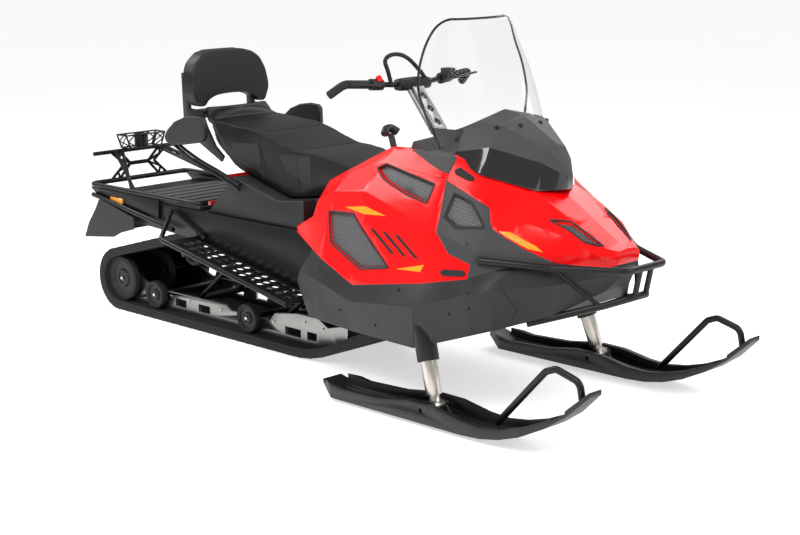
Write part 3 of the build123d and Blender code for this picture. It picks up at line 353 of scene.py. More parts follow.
def dress(name, finish, edge, crease=30.0):
    """Gives a CAD piece its finish, smooth faces and rounded edges."""
    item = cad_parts[name]
    item.data.materials.clear()
    item.data.materials.append(finish)
    item.data.polygons.foreach_set("use_smooth", [True] * len(item.data.polygons))
    weld = item.modifiers.new("Weld", "WELD")
    weld.merge_threshold = WELD
    soften(item, edge, crease)


def cad_tree(*names):
    """A search tree over CAD pieces."""
    bm = bmesh.new()
    for name in names:
        bm.from_mesh(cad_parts[name].data)
    tree = BVHTree.FromBMesh(bm)
    bm.free()
    return tree


def tube(bm, points, radius, finish=0, order=2, sides=3):
    """Adds a round bar along a line of points; order 3 makes the line smooth."""
    curve = bpy.data.curves.new("line", "CURVE")
    curve.dimensions = "3D"
    curve.bevel_depth = radius
    curve.bevel_resolution = sides
    curve.use_fill_caps = True
    line = curve.splines.new("NURBS")
    line.points.add(len(points) - 1)
    for spot, place in zip(line.points, points):
        spot.co = (*place, 1)
    line.order_u = order
    line.use_endpoint_u = True
    line.resolution_u = 6
    item = bpy.data.objects.new("line", curve)
    mesh = bpy.data.meshes.new_from_object(item)
    for face in mesh.polygons:
        face.material_index = finish
    bm.from_mesh(mesh)
    bpy.data.objects.remove(item)
    bpy.data.curves.remove(curve)
    bpy.data.meshes.remove(mesh)


def block(bm, size, place, edge):
    """Adds a block with rounded edges."""
    made = bmesh.ops.create_cube(bm, size=1)
    bmesh.ops.scale(bm, verts=made["verts"], vec=size)
    rims = list(dict.fromkeys(e for v in made["verts"] for e in v.link_edges))
    made = bmesh.ops.bevel(bm, geom=rims, offset=edge, segments=2, affect="EDGES", profile=0.5, material=-1)
    verts = list(dict.fromkeys(v for f in made["faces"] for v in f.verts))
    bmesh.ops.translate(bm, verts=verts, vec=place)


def in_mm(profile):
    """A turned profile from millimetres to metres."""
    return [(r * MM, along_axis * MM) for r, along_axis in profile]


def turned(bm, profile, place, axis, finish=0, steps=32):
    """Adds a turned shape: (radius, along) points spun about an axis through a place."""
    to_axis = Vector((0, 0, 1)).rotation_difference(Vector(axis)).to_matrix().to_4x4()
    spots = [bm.verts.new((r, 0, along)) for r, along in profile]
    edges = [bm.edges.new(pair) for pair in zip(spots, spots[1:])]
    bmesh.ops.spin(bm, geom=spots + edges, cent=(0, 0, 0), axis=(0, 0, 1), angle=2 * pi, steps=steps,
                   use_merge=True)
    faces = {f for e in edges for f in e.link_faces}
    grown = set(faces)
    while grown:
        grown = {g for f in grown for e in f.edges for g in e.link_faces} - faces
        faces |= grown
    verts = list({v for f in faces for v in f.verts})
    bmesh.ops.remove_doubles(bm, verts=verts, dist=WELD)
    verts = [v for v in verts if v.is_valid]
    bmesh.ops.transform(bm, verts=verts, matrix=Matrix.Translation(place) @ to_axis)
    for face in {f for v in verts for f in v.link_faces}:
        face.material_index = finish


def sleeve(bm, inner, outer, half, place, axis):
    """Adds a closed sleeve, given its radii and half its length in millimetres."""
    profile = ((inner, -half), (outer, -half), (outer, half), (inner, half), (inner, -half))
    turned(bm, in_mm(profile), place, axis)


# flanged screw head: shares of its radius, out from its axis and along it
SCREW_HEAD = ((0, 0.75), (0.55, 0.7), (0.72, 0.45), (0.74, 0.2), (1, 0.16), (1, -0.3), (0, -0.3))


def bolt(bm, place, axis, radius, finish=0):
    """Adds a flanged screw head that stands on a surface."""
    turned(bm, [(r * radius, rise * radius) for r, rise in SCREW_HEAD], place, axis, finish, steps=12)


def mirrored(bm):
    """Adds the other side of everything made so far."""
    made = bmesh.ops.duplicate(bm, geom=bm.verts[:] + bm.edges[:] + bm.faces[:])
    verts = [g for g in made["geom"] if isinstance(g, bmesh.types.BMVert)]
    faces = [g for g in made["geom"] if isinstance(g, bmesh.types.BMFace)]
    bmesh.ops.scale(bm, verts=verts, vec=(1, -1, 1))
    bmesh.ops.reverse_faces(bm, faces=faces)


def keep_pair(bm, name, finishes, slot, replaces=(), **settings):
    """Keeps a piece of the chassis together with its mirror image."""
    mirrored(bm)
    keep(bm, name, finishes, "chassis", slot, replaces, **settings)


def extruded(bm, faces, way):
    """Draws faces out along a vector into a closed solid."""
    made = bmesh.ops.extrude_face_region(bm, geom=faces)
    moved = [g for g in made["geom"] if isinstance(g, bmesh.types.BMVert)]
    bmesh.ops.translate(bm, verts=moved, vec=way)


def landed(tree, spot, view, lift=0.0):
    """Where a point of a flat drawing lands: a side view lands from the right, a plan from above."""
    if view == "side":
        start, way = Vector((spot[0], -2, spot[1])), Vector((0, 1, 0))
    else:
        start, way = Vector((spot[0], spot[1], 3)), Vector((0, 0, -1))
    place, normal, *rest = tree.ray_cast(start, way)
    if place is None:
        raise RuntimeError(f"nothing to land on at {spot[0]:.3f}, {spot[1]:.3f}")
    return place - normal * lift * (1 if normal.dot(way) > 0 else -1)


def turn_of(corners):
    """1 for an outline that runs anticlockwise, -1 for one that runs clockwise."""
    area = sum(p.x * q.y - q.x * p.y for p, q in zip(corners, corners[1:] + corners[:1]))
    return 1 if area > 0 else -1


def patch(bm, outline, view, tree, thick, finish=0, cell=14 * MM):
    """Lays a convex outline, drawn flat in millimetres, on a surface as a thin closed sheet."""
    corners = [Vector(p) * MM for p in outline]
    low = Vector((min(p.x for p in corners), min(p.y for p in corners)))
    size = Vector((max(p.x for p in corners), max(p.y for p in corners))) - low
    sheet = bmesh.new()
    bmesh.ops.create_grid(sheet, x_segments=ceil(size.x / cell), y_segments=ceil(size.y / cell), size=0.5)
    bmesh.ops.scale(sheet, verts=sheet.verts, vec=(size.x, size.y, 1))
    bmesh.ops.translate(sheet, verts=sheet.verts, vec=(low.x + size.x / 2, low.y + size.y / 2, 0))
    turn = turn_of(corners)
    for p, q in zip(corners, corners[1:] + corners[:1]):
        whole = sheet.verts[:] + sheet.edges[:] + sheet.faces[:]
        out = ((q.y - p.y) * turn, (p.x - q.x) * turn, 0)
        bmesh.ops.bisect_plane(sheet, geom=whole, plane_co=(p.x, p.y, 0), plane_no=out, clear_outer=True)
    for vert in sheet.verts:
        vert.co = landed(tree, vert.co.xy, view, thick)
    bmesh.ops.recalc_face_normals(sheet, faces=sheet.faces)
    bmesh.ops.solidify(sheet, geom=sheet.faces[:], thickness=thick)
    bmesh.ops.recalc_face_normals(sheet, faces=sheet.faces)
    for face in sheet.faces:
        face.material_index = finish
    mesh = bpy.data.meshes.new("sheet")
    sheet.to_mesh(mesh)
    sheet.free()
    bm.from_mesh(mesh)
    bpy.data.meshes.remove(mesh)


def ring(bm, outline, view, tree, radius, grow, cell=30 * MM):
    """Lays a beading on a surface, around an outline drawn flat in millimetres."""
    corners = [Vector(p) * MM for p in outline]
    middle = sum(corners, Vector((0, 0))) / len(corners)
    corners = [p + (p - middle).normalized() * grow for p in corners]
    line = []
    for p, q in zip(corners, corners[1:] + corners[:1]):
        steps = max(2, ceil((q - p).length / cell))
        line += [landed(tree, p.lerp(q, i / steps), view) for i in range(steps)]
    tube(bm, line + line[:2], radius, sides=2)


# Body shell, frame and running gear that keep their CAD shape

PANEL_CREASE = 7.0  # degrees: the panels' facets meet at small angles


class SNOWMOBILE_OT_shell(bpy.types.Operator):
    """Finishes the hood, side panels, inserts, belly, cowl and vents"""
    bl_idname = "snowmobile.shell"
    bl_label = "Body shell"

    def execute(self, context):
        edge = sizes().panel_edge
        for name in ("hood", "side_panels"):
            dress(name, red_gloss_abs(), edge, PANEL_CREASE)
        for name in ("side_inserts", "cowl", "console"):
            dress(name, grey_grained_polypropylene(), edge, PANEL_CREASE)
        dress("bellypan", black_grained_polypropylene(), edge, PANEL_CREASE)
        dress("vent_screens", woven_screen(), 1 * MM)
        dress("headlight_lens", smoked_lens_painted_red_reflection(), 4 * MM, PANEL_CREASE)
        dress("reflectors", amber_reflector(), 2 * MM)
        dress("engine_block", cast_alloy(), 10 * MM)
        return {"FINISHED"}


class SNOWMOBILE_OT_chassis(bpy.types.Operator):
    """Finishes the tunnel, boards, rack, bumper, suspension and struts"""
    bl_idname = "snowmobile.chassis"
    bl_label = "Chassis"

    # edge rounding and crease angle of each piece, in millimetres and degrees
    table = (
        (black_powder_coat, 2.0, 40, ("tunnel", "running_boards", "rack_gussets", "backrest_bracket")),
        (black_powder_coat, 0.8, 50, (
            "board_rails", "rack_frame", "front_bumper", "suspension_arms", "wheel_axles", "strut_sleeves",
            "handlebar", "ski_loop_right", "ski_loop_left")),
        (black_grained_polypropylene, 4.0, 25, ("seat_base",)),
        (black_grained_polypropylene, 3.0, 40, ("bar_controls",)),
        (deck_polypropylene, 2.0, 40, ("rack_deck",)),
        (brushed_aluminium, 2.0, 40, ("slide_rails", "steering_riser")),
        (zinc_plated_steel, 2.0, 40, ("spindle_right", "spindle_left")),
        (ski_polyethylene, 9.0, 25, ("ski_right", "ski_left")),
        (black_rubber, 1.0, 45, ("grips", "track")),
        (red_lamp_lens, 3.0, 30, ("tail_light",)),
    )

    def execute(self, context):
        for finish, edge, crease, names in self.table:
            for name in names:
                dress(name, finish(), edge * MM, crease)
        return {"FINISHED"}


# Trim on the body

# Vent outlines in side view (x, z), and on the hood from above (x, y)
SIDE_VENTS = (
    ((153, 694), (315, 706), (555, 540), (400, 513), (206, 582)),
    ((354, 883), (389, 901), (689, 864), (689, 798), (571, 816), (426, 852)),
    ((796, 838), (862, 812), (953, 736), (858, 732), (798, 760)),
)
HOOD_VENT = ((1122, -168), (1179, -112), (1298, -84), (1290, -96), (1246, -128))
# shoulder of the cowl over the side panel and hood, side view
SHOULDER = ((500, 966), (616, 932), (694, 914), (748, 907), (758, 964), (736, 982), (505, 976))
# its flat top, plan view
SHOULDER_TOP = ((495, -246), (540, -262), (616, -284), (640, -262), (590, -232), (505, -212))
# latches of the side panel and of the hood, side view
LATCHES = (
    ((836, 566), (856, 578), (948, 588), (966, 580), (958, 568), (856, 555)),
    ((764, 922), (778, 930), (826, 899), (836, 886), (822, 884), (770, 908)),
)
AMBER_STRIPES = (
    ((253, 727), (381, 749), (507, 728), (388, 719)),
    ((602, 541), (749, 579), (733, 550)),
)
DARK_STRIPES = (
    ((428, 670), (452, 670), (586, 594), (562, 594)),
    ((498, 668), (522, 668), (652, 594), (628, 594)),
    ((568, 666), (592, 666), (718, 596), (694, 596)),
)
# seam of the belly mouldings, side view
BELLY_SEAM = ((1068, 560), (1112, 446), (1098, 418))
SEAM_STEPS = 6
BELLY_SLOT = ((140, 482), (154, 482), (240, 452), (226, 452))
BELLY_SCREWS = ((300, 330), (520, 310), (640, 470), (900, 420), (980, 450))
# radius of a vent's beading, and its distance from the vent
BEADING = 4 * MM
BEADING_GROW = 4.5 * MM
# thickness of what lies on the panels
SHOULDER_THICK = 3 * MM
LATCH_THICK = 5 * MM
SLOT_THICK = 1 * MM
FILM_THICK = 0.5 * MM


class SNOWMOBILE_OT_trim(bpy.types.Operator):
    """Adds vent beadings, the cowl's shoulders, latches, seams, stripes and screws to the body"""
    bl_idname = "snowmobile.trim"
    bl_label = "Body trim"

    def execute(self, context):
        shell = cad_tree("hood", "side_panels", "side_inserts")
        over = cad_tree("hood", "side_panels", "cowl", "console")
        belly = cad_tree("bellypan")
        bm = bmesh.new()
        for outline in SIDE_VENTS:
            ring(bm, outline, "side", shell, BEADING, BEADING_GROW)
        ring(bm, HOOD_VENT, "plan", shell, BEADING, BEADING_GROW)
        keep_pair(bm, "vent_beading", black_grained_polypropylene(), "black_plastic")
        bm = bmesh.new()
        patch(bm, SHOULDER, "side", over, SHOULDER_THICK)
        patch(bm, SHOULDER_TOP, "plan", over, SHOULDER_THICK)
        keep_pair(bm, "cowl_shoulders", grey_grained_polypropylene(), "grey_plastic")
        bm = bmesh.new()
        for outline in LATCHES:
            patch(bm, outline, "side", shell, LATCH_THICK)
        patch(bm, BELLY_SLOT, "side", belly, SLOT_THICK)
        keep_pair(bm, "panel_latches", black_rubber(), "black_plastic", round_edges=LATCH_THICK / 2)
        bm = bmesh.new()
        line = []
        for p, q in zip(BELLY_SEAM, BELLY_SEAM[1:]):
            for i in range(SEAM_STEPS + 1):
                line.append(landed(belly, mm(*p).lerp(mm(*q), i / SEAM_STEPS), "side"))
        tube(bm, line, 2.2 * MM, sides=2)
        keep_pair(bm, "belly_seams", black_rubber(), "black_plastic")
        bm = bmesh.new()
        for outline in AMBER_STRIPES:
            patch(bm, outline, "side", shell, FILM_THICK)
        for outline in DARK_STRIPES:
            patch(bm, outline, "side", shell, FILM_THICK, finish=1)
        keep_pair(bm, "panel_stripes", [amber_film(), black_film()], "black_plastic")
        bm = bmesh.new()
        for spot in BELLY_SCREWS:
            bolt(bm, landed(belly, mm(*spot), "side"), (0, -1, 0), 6 * MM)
        keep_pair(bm, "belly_screws", black_powder_coat(), "black_paint")
        return {"FINISHED"}


# Running gear

# x and z of each axle, wheel radius, and places across
WHEEL_Y = 212
IDLER_WHEELS = ((-1436, 150, 107.7, (-WHEEL_Y, 0, WHEEL_Y)),)
BOGIE_WHEELS = ((-1190, 108, 65.7, (-WHEEL_Y, WHEEL_Y)), (-535, 108, 65.7, (-WHEEL_Y, WHEEL_Y)),
                (-900, 352, 59.7, (-WHEEL_Y, WHEEL_Y)))
WHEEL_HALF = 17 * MM
WHEEL_STEPS = 40
HUB_BOLT = 13 * MM
HUB_DEEP = 0.6  # where the hub's bolts stand, as a share of the half width


def both_ways(half):
    """A profile followed back on its other side."""
    return half + tuple((r, -wide) for r, wide in reversed(half))


# profiles: share of the wheel's radius, share of its half width
TYRE_SIDE = ((0.76, 0.6), (0.78, 0.92), (0.86, 1.0), (0.96, 0.96), (1.0, 0.7))
TYRE = both_ways(TYRE_SIDE) + TYRE_SIDE[:1]
WEB_SIDE = ((0.0, 0.62), (0.24, 0.62), (0.26, 0.9), (0.38, 0.82), (0.42, 0.36), (0.68, 0.42), (0.72, 0.8),
            (0.79, 0.84))
WEB = both_ways(WEB_SIDE)
# the track's loop: x, z and radius of its rounds, from the rear idler forward along the ground
TRACK_ROUNDS = ((-1436, 150, 108), (-205, 562, 520), (277, 311, 95), (-900, 352, 60))
TRACK_EDGE = (12, 41)  # the edge band, out from the wheels
TRACK_SIDE = (-251, -239)
TRACK_EDGE_ROUND = 3 * MM
# snow flap in side view, from the front of its roof round by the rear; it is open in front and below
FLAP_OUTLINE = ((-1440, 540), (-1470, 540), (-1500, 492), (-1556, 420), (-1592, 347), (-1362, 374),
                (-1306, 402), (-1204, 432), (-1204, 486))
FLAP_HALF = 322
FLAP_FRONT = -1440
FLAP_FOOT = 365
FLAP_THICK = 7 * MM
# shock absorber: lower and upper eye (x, z); its rod and body by share of the length, radius and finish
SHOCK = ((-400, 108), (-700, 350))
SHOCK_TUBES = ((0.0, 0.5, 8, 1), (0.4, 1.0, 17, 0))
SHOCK_EYE = (15.3, 23, 27)  # bore, outer radius, half width
SPRING = (0.22, 0.86)  # the stretch of its spring
SPRING_CUP = (14, 28, 4)  # inner radius, outer radius, half thickness
SPRING_RADIUS = 23 * MM
SPRING_WIRE = 4.5 * MM
SPRING_TURNS = 9
SPRING_STEPS = 10
# bolts along the slide rail: x and z
RAIL_BOLTS = ((-1330, 90), (-1120, 108), (-985, 108), (-760, 100), (-600, 90), (-400, 108), (-200, 140),
              (-90, 130))


def track_loop(offset):
    """Points around the track's loop at an offset from its wheels, in side view."""
    rounds = [(x, z, r + offset) for x, z, r in TRACK_ROUNDS]
    angles = []
    for (x0, z0, r0), (x1, z1, r1) in zip(rounds, rounds[1:] + rounds[:1]):
        run = Vector((x1 - x0, z1 - z0))
        lean = (r0 - r1) / run.length
        run.normalize()
        out = run * lean + Vector((run.y, -run.x)) * sqrt(1 - lean ** 2)
        angles.append(atan2(out.y, out.x))
    points = []
    for (x, z, r), first, last in zip(rounds, angles[-1:] + angles[:-1], angles):
        turn = (last - first) % (2 * pi)
        steps = ceil(turn / radians(5))
        for i in range(steps + 1):
            angle = first + turn * i / steps
            points.append((x + r * cos(angle), z + r * sin(angle)))
    return points


class SNOWMOBILE_OT_running_gear(bpy.types.Operator):
    """Makes the wheels, shock absorber, track edges, snow flap and the rails' bolts"""
    bl_idname = "snowmobile.running_gear"
    bl_label = "Running gear"

    def wheels(self, name, node, table):
        bm = bmesh.new()
        for x, z, radius, places in table:
            for y in places:
                hub = mm(x, y, z)
                for finish, profile in enumerate((TYRE, WEB)):
                    line = [(r * radius * MM, half * WHEEL_HALF) for r, half in profile]
                    turned(bm, line, hub, (0, 1, 0), finish, WHEEL_STEPS)
                for side in (-1, 1):
                    out = Vector((0, side * WHEEL_HALF * HUB_DEEP, 0))
                    bolt(bm, hub + out, (0, side, 0), HUB_BOLT, finish=2)
        finishes = [black_rubber(), black_grained_polypropylene(), zinc_plated_steel()]
        keep(bm, name, finishes, "chassis", "rubber", (node,), crease=40)

    def shock(self):
        low, top = (mm(x, 0, z) for x, z in SHOCK)
        run = top - low
        across = Vector((0, 1, 0))
        up = run.normalized().cross(across)
        bm = bmesh.new()
        for start, end, radius, finish in SHOCK_TUBES:
            tube(bm, [low.lerp(top, start), low.lerp(top, end)], radius * MM, finish)
        for share in SPRING:
            sleeve(bm, *SPRING_CUP, low.lerp(top, share), run)
        coil = []
        for i in range(SPRING_TURNS * SPRING_STEPS + 1):
            angle = 2 * pi * i / SPRING_STEPS
            share = SPRING[0] + (SPRING[1] - SPRING[0]) * i / (SPRING_TURNS * SPRING_STEPS)
            coil.append(low.lerp(top, share) + (across * cos(angle) + up * sin(angle)) * SPRING_RADIUS)
        tube(bm, coil, SPRING_WIRE, order=3, sides=2)
        for eye in (low, top):
            sleeve(bm, *SHOCK_EYE, eye, across)
        finishes = [black_powder_coat(), zinc_plated_steel()]
        keep(bm, "shock_spring", finishes, "chassis", "steel", ("shock_absorber",))

    def track_bands(self):
        bm = bmesh.new()
        loops = []
        for offset in TRACK_EDGE:
            spots = [bm.verts.new(mm(x, TRACK_SIDE[0], z)) for x, z in track_loop(offset)]
            loops += [bm.edges.new(pair) for pair in zip(spots, spots[1:] + spots[:1])]
        made = bmesh.ops.bridge_loops(bm, edges=loops)
        extruded(bm, made["faces"], mm(0, TRACK_SIDE[1] - TRACK_SIDE[0], 0))
        keep_pair(bm, "track_edges", black_rubber(), "rubber", round_edges=TRACK_EDGE_ROUND)

    def snow_flap(self):
        bm = bmesh.new()
        side = bm.faces.new([bm.verts.new(mm(x, -FLAP_HALF, z)) for x, z in FLAP_OUTLINE])
        extruded(bm, [side], mm(0, 2 * FLAP_HALF, 0))
        ends = [(f, f.calc_center_median()) for f in bm.faces if abs(f.normal.y) < 0.5]
        opened = [f for f, c in ends if c.x > FLAP_FRONT * MM or c.z < FLAP_FOOT * MM]
        bmesh.ops.delete(bm, geom=opened, context="FACES_ONLY")
        bmesh.ops.recalc_face_normals(bm, faces=bm.faces)
        bmesh.ops.solidify(bm, geom=bm.faces[:], thickness=FLAP_THICK)
        keep(bm, "snow_flap_moulding", black_grained_polypropylene(), "chassis", "black_plastic",
             ("snow_flap",), crease=20, round_edges=4 * MM)

    def execute(self, context):
        self.track_bands()
        self.snow_flap()
        self.wheels("idler_wheels", "rear_idler_wheels", IDLER_WHEELS)
        self.wheels("running_wheels", "bogie_wheels", BOGIE_WHEELS)
        self.shock()
        rails = cad_tree("slide_rails")
        bm = bmesh.new()
        for spot in RAIL_BOLTS:
            bolt(bm, landed(rails, mm(*spot), "side"), (0, -1, 0), 9 * MM)
        keep_pair(bm, "rail_bolts", zinc_plated_steel(), "steel")
        return {"FINISHED"}


# Skis

SKI_RIBS = (-44, -15, 15, 44)
SKI_RIB = 4.5 * MM
SKI_ENDS = (70, 170)  # how far the ribs stop short of the tail and of the tip
SKI_STEPS = 24


class SNOWMOBILE_OT_skis(bpy.types.Operator):
    """Adds the ribs along the top of each ski"""
    bl_idname = "snowmobile.skis"
    bl_label = "Skis"

    def execute(self, context):
        for side in ("right", "left"):
            ski = cad_tree(f"ski_{side}")
            low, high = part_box(f"ski_{side}")
            middle = (low.y + high.y) / 2
            rear, front = low.x + SKI_ENDS[0] * MM, high.x - SKI_ENDS[1] * MM
            bm = bmesh.new()
            for offset in SKI_RIBS:
                line = []
                for i in range(SKI_STEPS + 1):
                    spot = Vector((rear + (front - rear) * i / SKI_STEPS, middle + offset * MM))
                    line.append(landed(ski, spot, "plan"))
                tube(bm, line, SKI_RIB, order=3, sides=2)
            keep(bm, f"ski_ribs_{side}", ski_polyethylene(), f"ski_{side}", "black_plastic")
        return {"FINISHED"}


# Rack tower

TOWER_X = -1570
# heights of its foot, waist and head; half widths of the outer and of the inner edge there
TOWER = ((606, 165, 118), (673, 90, 52), (736, 165, 118))
TOWER_STEPS = 2
TOWER_TUBE = 7 * MM
# bars across: height, half length, radius
TOWER_BARS = ((739, 265, 10), (679, 60, 4), (667, 60, 4))
TOWER_PLATE = ((4, 96, 14), 673)  # its size, and its height
CASE = (752, 816, 92, 116)  # foot and head of the case on top, half widths there
CASE_DEEP = (-1584, -1512)
CASE_INSET = 50
CASE_TUBE = 4 * MM
CASE_BRACE = 3 * MM
# drum in the case, radius and height, with a slat across its mouth
DRUM = ((0, -36), (33, -36), (33.5, 24), (35.5, 26), (35.5, 31), (30, 31), (29, 20), (0, 20))
SLAT = (66, 3, 52)
# outer and inner rail of a leg, foot and head
LEG_RAILS = (((-1235, -282, 600), (-1556, -150, 738)), ((-1275, -272, 600), (-1556, -108, 738)))
LEG_STEPS = 6
LEG_TUBE = 8 * MM


class SNOWMOBILE_OT_tower(bpy.types.Operator):
    """Makes the lattice tower on the rack"""
    bl_idname = "snowmobile.tower"
    bl_label = "Rack tower"

    def truss(self, bm, outer, inner, steps, radius):
        """Two rails with a zigzag between them."""
        tube(bm, outer, radius, sides=1)
        tube(bm, inner, radius, sides=1)
        for i in range(steps):
            rails = (outer, inner) if i % 2 else (inner, outer)
            start = rails[0][0].lerp(rails[0][1], i / steps)
            end = rails[1][0].lerp(rails[1][1], (i + 1) / steps)
            tube(bm, [start, end], radius * 0.8, sides=1)

    def execute(self, context):
        bm = bmesh.new()
        for (low_z, low_out, low_in), (high_z, high_out, high_in) in zip(TOWER, TOWER[1:]):
            outer = [mm(TOWER_X, -low_out, low_z), mm(TOWER_X, -high_out, high_z)]
            inner = [mm(TOWER_X, -low_in, low_z), mm(TOWER_X, -high_in, high_z)]
            self.truss(bm, outer, inner, TOWER_STEPS, TOWER_TUBE)
        foot, head, low_half, high_half = CASE
        rear, front = CASE_DEEP
        for x in CASE_DEEP:
            outer = [mm(x, -low_half, foot), mm(x, -high_half, head)]
            inner = [mm(x, CASE_INSET - low_half, foot), mm(x, CASE_INSET - high_half, head)]
            self.truss(bm, outer, inner, TOWER_STEPS, CASE_TUBE)
        for z, half in ((foot, low_half), (head, high_half)):
            tube(bm, [mm(rear, -half, z), mm(front, -half, z)], CASE_TUBE, sides=1)
        tube(bm, [mm(rear, -low_half, foot), mm(front, -high_half, head)], CASE_BRACE, sides=1)
        outer, inner = ([mm(*p) for p in rail] for rail in LEG_RAILS)
        self.truss(bm, outer, inner, LEG_STEPS, LEG_TUBE)
        mirrored(bm)
        for z, half, radius in TOWER_BARS:
            tube(bm, [mm(TOWER_X, -half, z), mm(TOWER_X, half, z)], radius * MM)
        for x in CASE_DEEP:
            for z, half in ((foot, low_half), (head, high_half)):
                tube(bm, [mm(x, -half, z), mm(x, half, z)], CASE_TUBE, sides=1)
        middle = mm((rear + front) / 2, 0, (foot + head) / 2)
        turned(bm, in_mm(DRUM), middle, (0, 0, 1))
        block(bm, mm(*SLAT), middle, 1 * MM)
        size, z = TOWER_PLATE
        block(bm, mm(*size), mm(TOWER_X, 0, z), 1 * MM)
        keep(bm, "rack_lattice", black_powder_coat(), "chassis", "black_paint", ("rack_tower",))
        return {"FINISHED"}


# Seat and backrest

SEAM_REACH = 11 * MM  # a pad is held this near to a seam
SEAT_HELD = 14 * MM  # and the cushion this far up from its foot
WELT_STEP = 18 * MM
# the cloth that swells: pressure, stiffness and frames
PRESSURE = 4.0
TENSION = 25.0
BENDING = 2.0
FRAMES = 20


def swollen(name, bm, pinned, shrink):
    """A padded shape: remeshed, blown up by a cloth simulation between its pinned seams, and smoothed."""
    mesh = bpy.data.meshes.new(name)
    bm.to_mesh(mesh)
    bm.free()
    item = bpy.data.objects.new(name, mesh)
    bpy.context.scene.collection.objects.link(item)
    remesh = item.modifiers.new("Remesh", "REMESH")
    remesh.mode = "VOXEL"
    remesh.voxel_size = sizes().pad_voxel
    ease = item.modifiers.new("Ease", "SMOOTH")
    ease.iterations = 4
    ease.factor = 0.5
    bake(item)
    drawn_in(item, shrink)
    blow_up(item, pinned)
    sub = item.modifiers.new("Smooth", "SUBSURF")
    sub.levels = 1
    sub.render_levels = 1
    item.data.polygons.foreach_set("use_smooth", [True] * len(item.data.polygons))
    return item


def bake(item):
    """Applies a piece's modifiers to its mesh."""
    graph = bpy.context.evaluated_depsgraph_get()
    made = bpy.data.meshes.new_from_object(item.evaluated_get(graph))
    item.modifiers.clear()
    item.data = made


def drawn_in(item, distance):
    """Moves a mesh in along its normals."""
    bm = bmesh.new()
    bm.from_mesh(item.data)
    bm.normal_update()
    for vert in bm.verts:
        vert.co -= vert.normal * distance
    bm.to_mesh(item.data)
    bm.free()


def blow_up(item, pinned):
    """Swells a pad from inside while its seams and seat hold."""
    held = item.vertex_groups.new(name="seams")
    held.add([v.index for v in item.data.vertices if pinned(v.co)], 1.0, "REPLACE")
    start = [v.co.copy() for v in item.data.vertices]
    cloth = item.modifiers.new("Cloth", "CLOTH")
    cloth.settings.use_pressure = True
    cloth.settings.uniform_pressure_force = PRESSURE
    cloth.settings.vertex_group_mass = "seams"
    cloth.settings.effector_weights.gravity = 0.0
    cloth.settings.tension_stiffness = TENSION
    cloth.settings.bending_stiffness = BENDING
    cloth.point_cache.frame_start = 1
    cloth.point_cache.frame_end = FRAMES
    scene = bpy.context.scene
    for number in range(1, FRAMES + 1):
        scene.frame_set(number)
    bake(item)
    item.vertex_groups.clear()
    cap = sizes().pad_swell
    for vert, old in zip(item.data.vertices, start):
        move = vert.co - old
        if move.length > cap:
            vert.co = old + move.normalized() * cap
    scene.frame_set(1)


def near_line(points, reach):
    """A test of whether a place is within reach of a line of points."""
    spans = [(a, b - a, (b - a).length_squared) for a, b in zip(points, points[1:])]

    def test(place):
        for start, run, square in spans:
            share = max(0.0, min(1.0, (place - start).dot(run) / square))
            if (place - start - run * share).length < reach:
                return True
        return False
    return test


def surface_tree(item):
    """A search tree over a piece as its modifiers leave it."""
    graph = bpy.context.evaluated_depsgraph_get()
    return BVHTree.FromObject(item.evaluated_get(graph), graph)


def welts(item, lines, name):
    """A welt along lines that are laid on a piece's surface."""
    tree = surface_tree(item)
    bm = bmesh.new()
    for line in lines:
        laid = []
        for start, end in zip(line, line[1:]):
            steps = max(2, int((end - start).length / WELT_STEP))
            laid += [tree.find_nearest(start.lerp(end, i / steps))[0] for i in range(steps)]
        laid.append(tree.find_nearest(line[-1])[0])
        tube(bm, laid, sizes().seam, order=3, sides=2)
    keep(bm, name, welt_cord(), "chassis", "seat_cover")


def upholstered(name, bm, node, seams, shrink, held_below=0.0):
    """A vinyl pad in a node's place, held at its seams, and below a height, while it swells."""
    tests = [near_line(line, SEAM_REACH) for line in seams]

    def pinned(place):
        return place.z < held_below or any(test(place) for test in tests)
    pad = swollen(name, bm, pinned, shrink)
    pad.data.materials.append(seat_vinyl())
    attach(pad, "chassis")
    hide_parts(node)
    return pad


# Upper edge of the cushion on the right side, from the front: x, half width, z
SEAT_EDGE = [mm(*p) for p in ((215, -160, 792), (60, -170, 838), (-100, -180, 872), (-230, -190, 880),
                              (-330, -194, 900), (-420, -197, 928), (-510, -198, 948), (-770, -194, 963))]
SEAT_STEP = [mm(*p) for p in ((-215, -196, 720), (-240, -190, 882), (-240, 190, 882), (-215, 196, 720))]
SEAT_REAR = [mm(*p) for p in ((-419, -203, 770), (-461, -200, 898), (-462, -198, 940), (-462, 198, 940),
                              (-461, 200, 898), (-419, 203, 770))]
# grip vinyl let into the sides, side view
SEAT_GRIPS = (
    ((-335, 856), (-150, 866), (-140, 730), (-293, 793)),
    ((-631, 880), (-465, 892), (-449, 795), (-612, 826)),
)
GRIP_THICK = 1.2 * MM
# tail lamp: place and radius of the lens bars on the seat base's rear face, and their half length
TAIL_LENSES = (((-583, 738), 14), ((-716, 608), 10))
TAIL_HALF = 271


def other_side(line):
    return [Vector((p.x, -p.y, p.z)) for p in line]


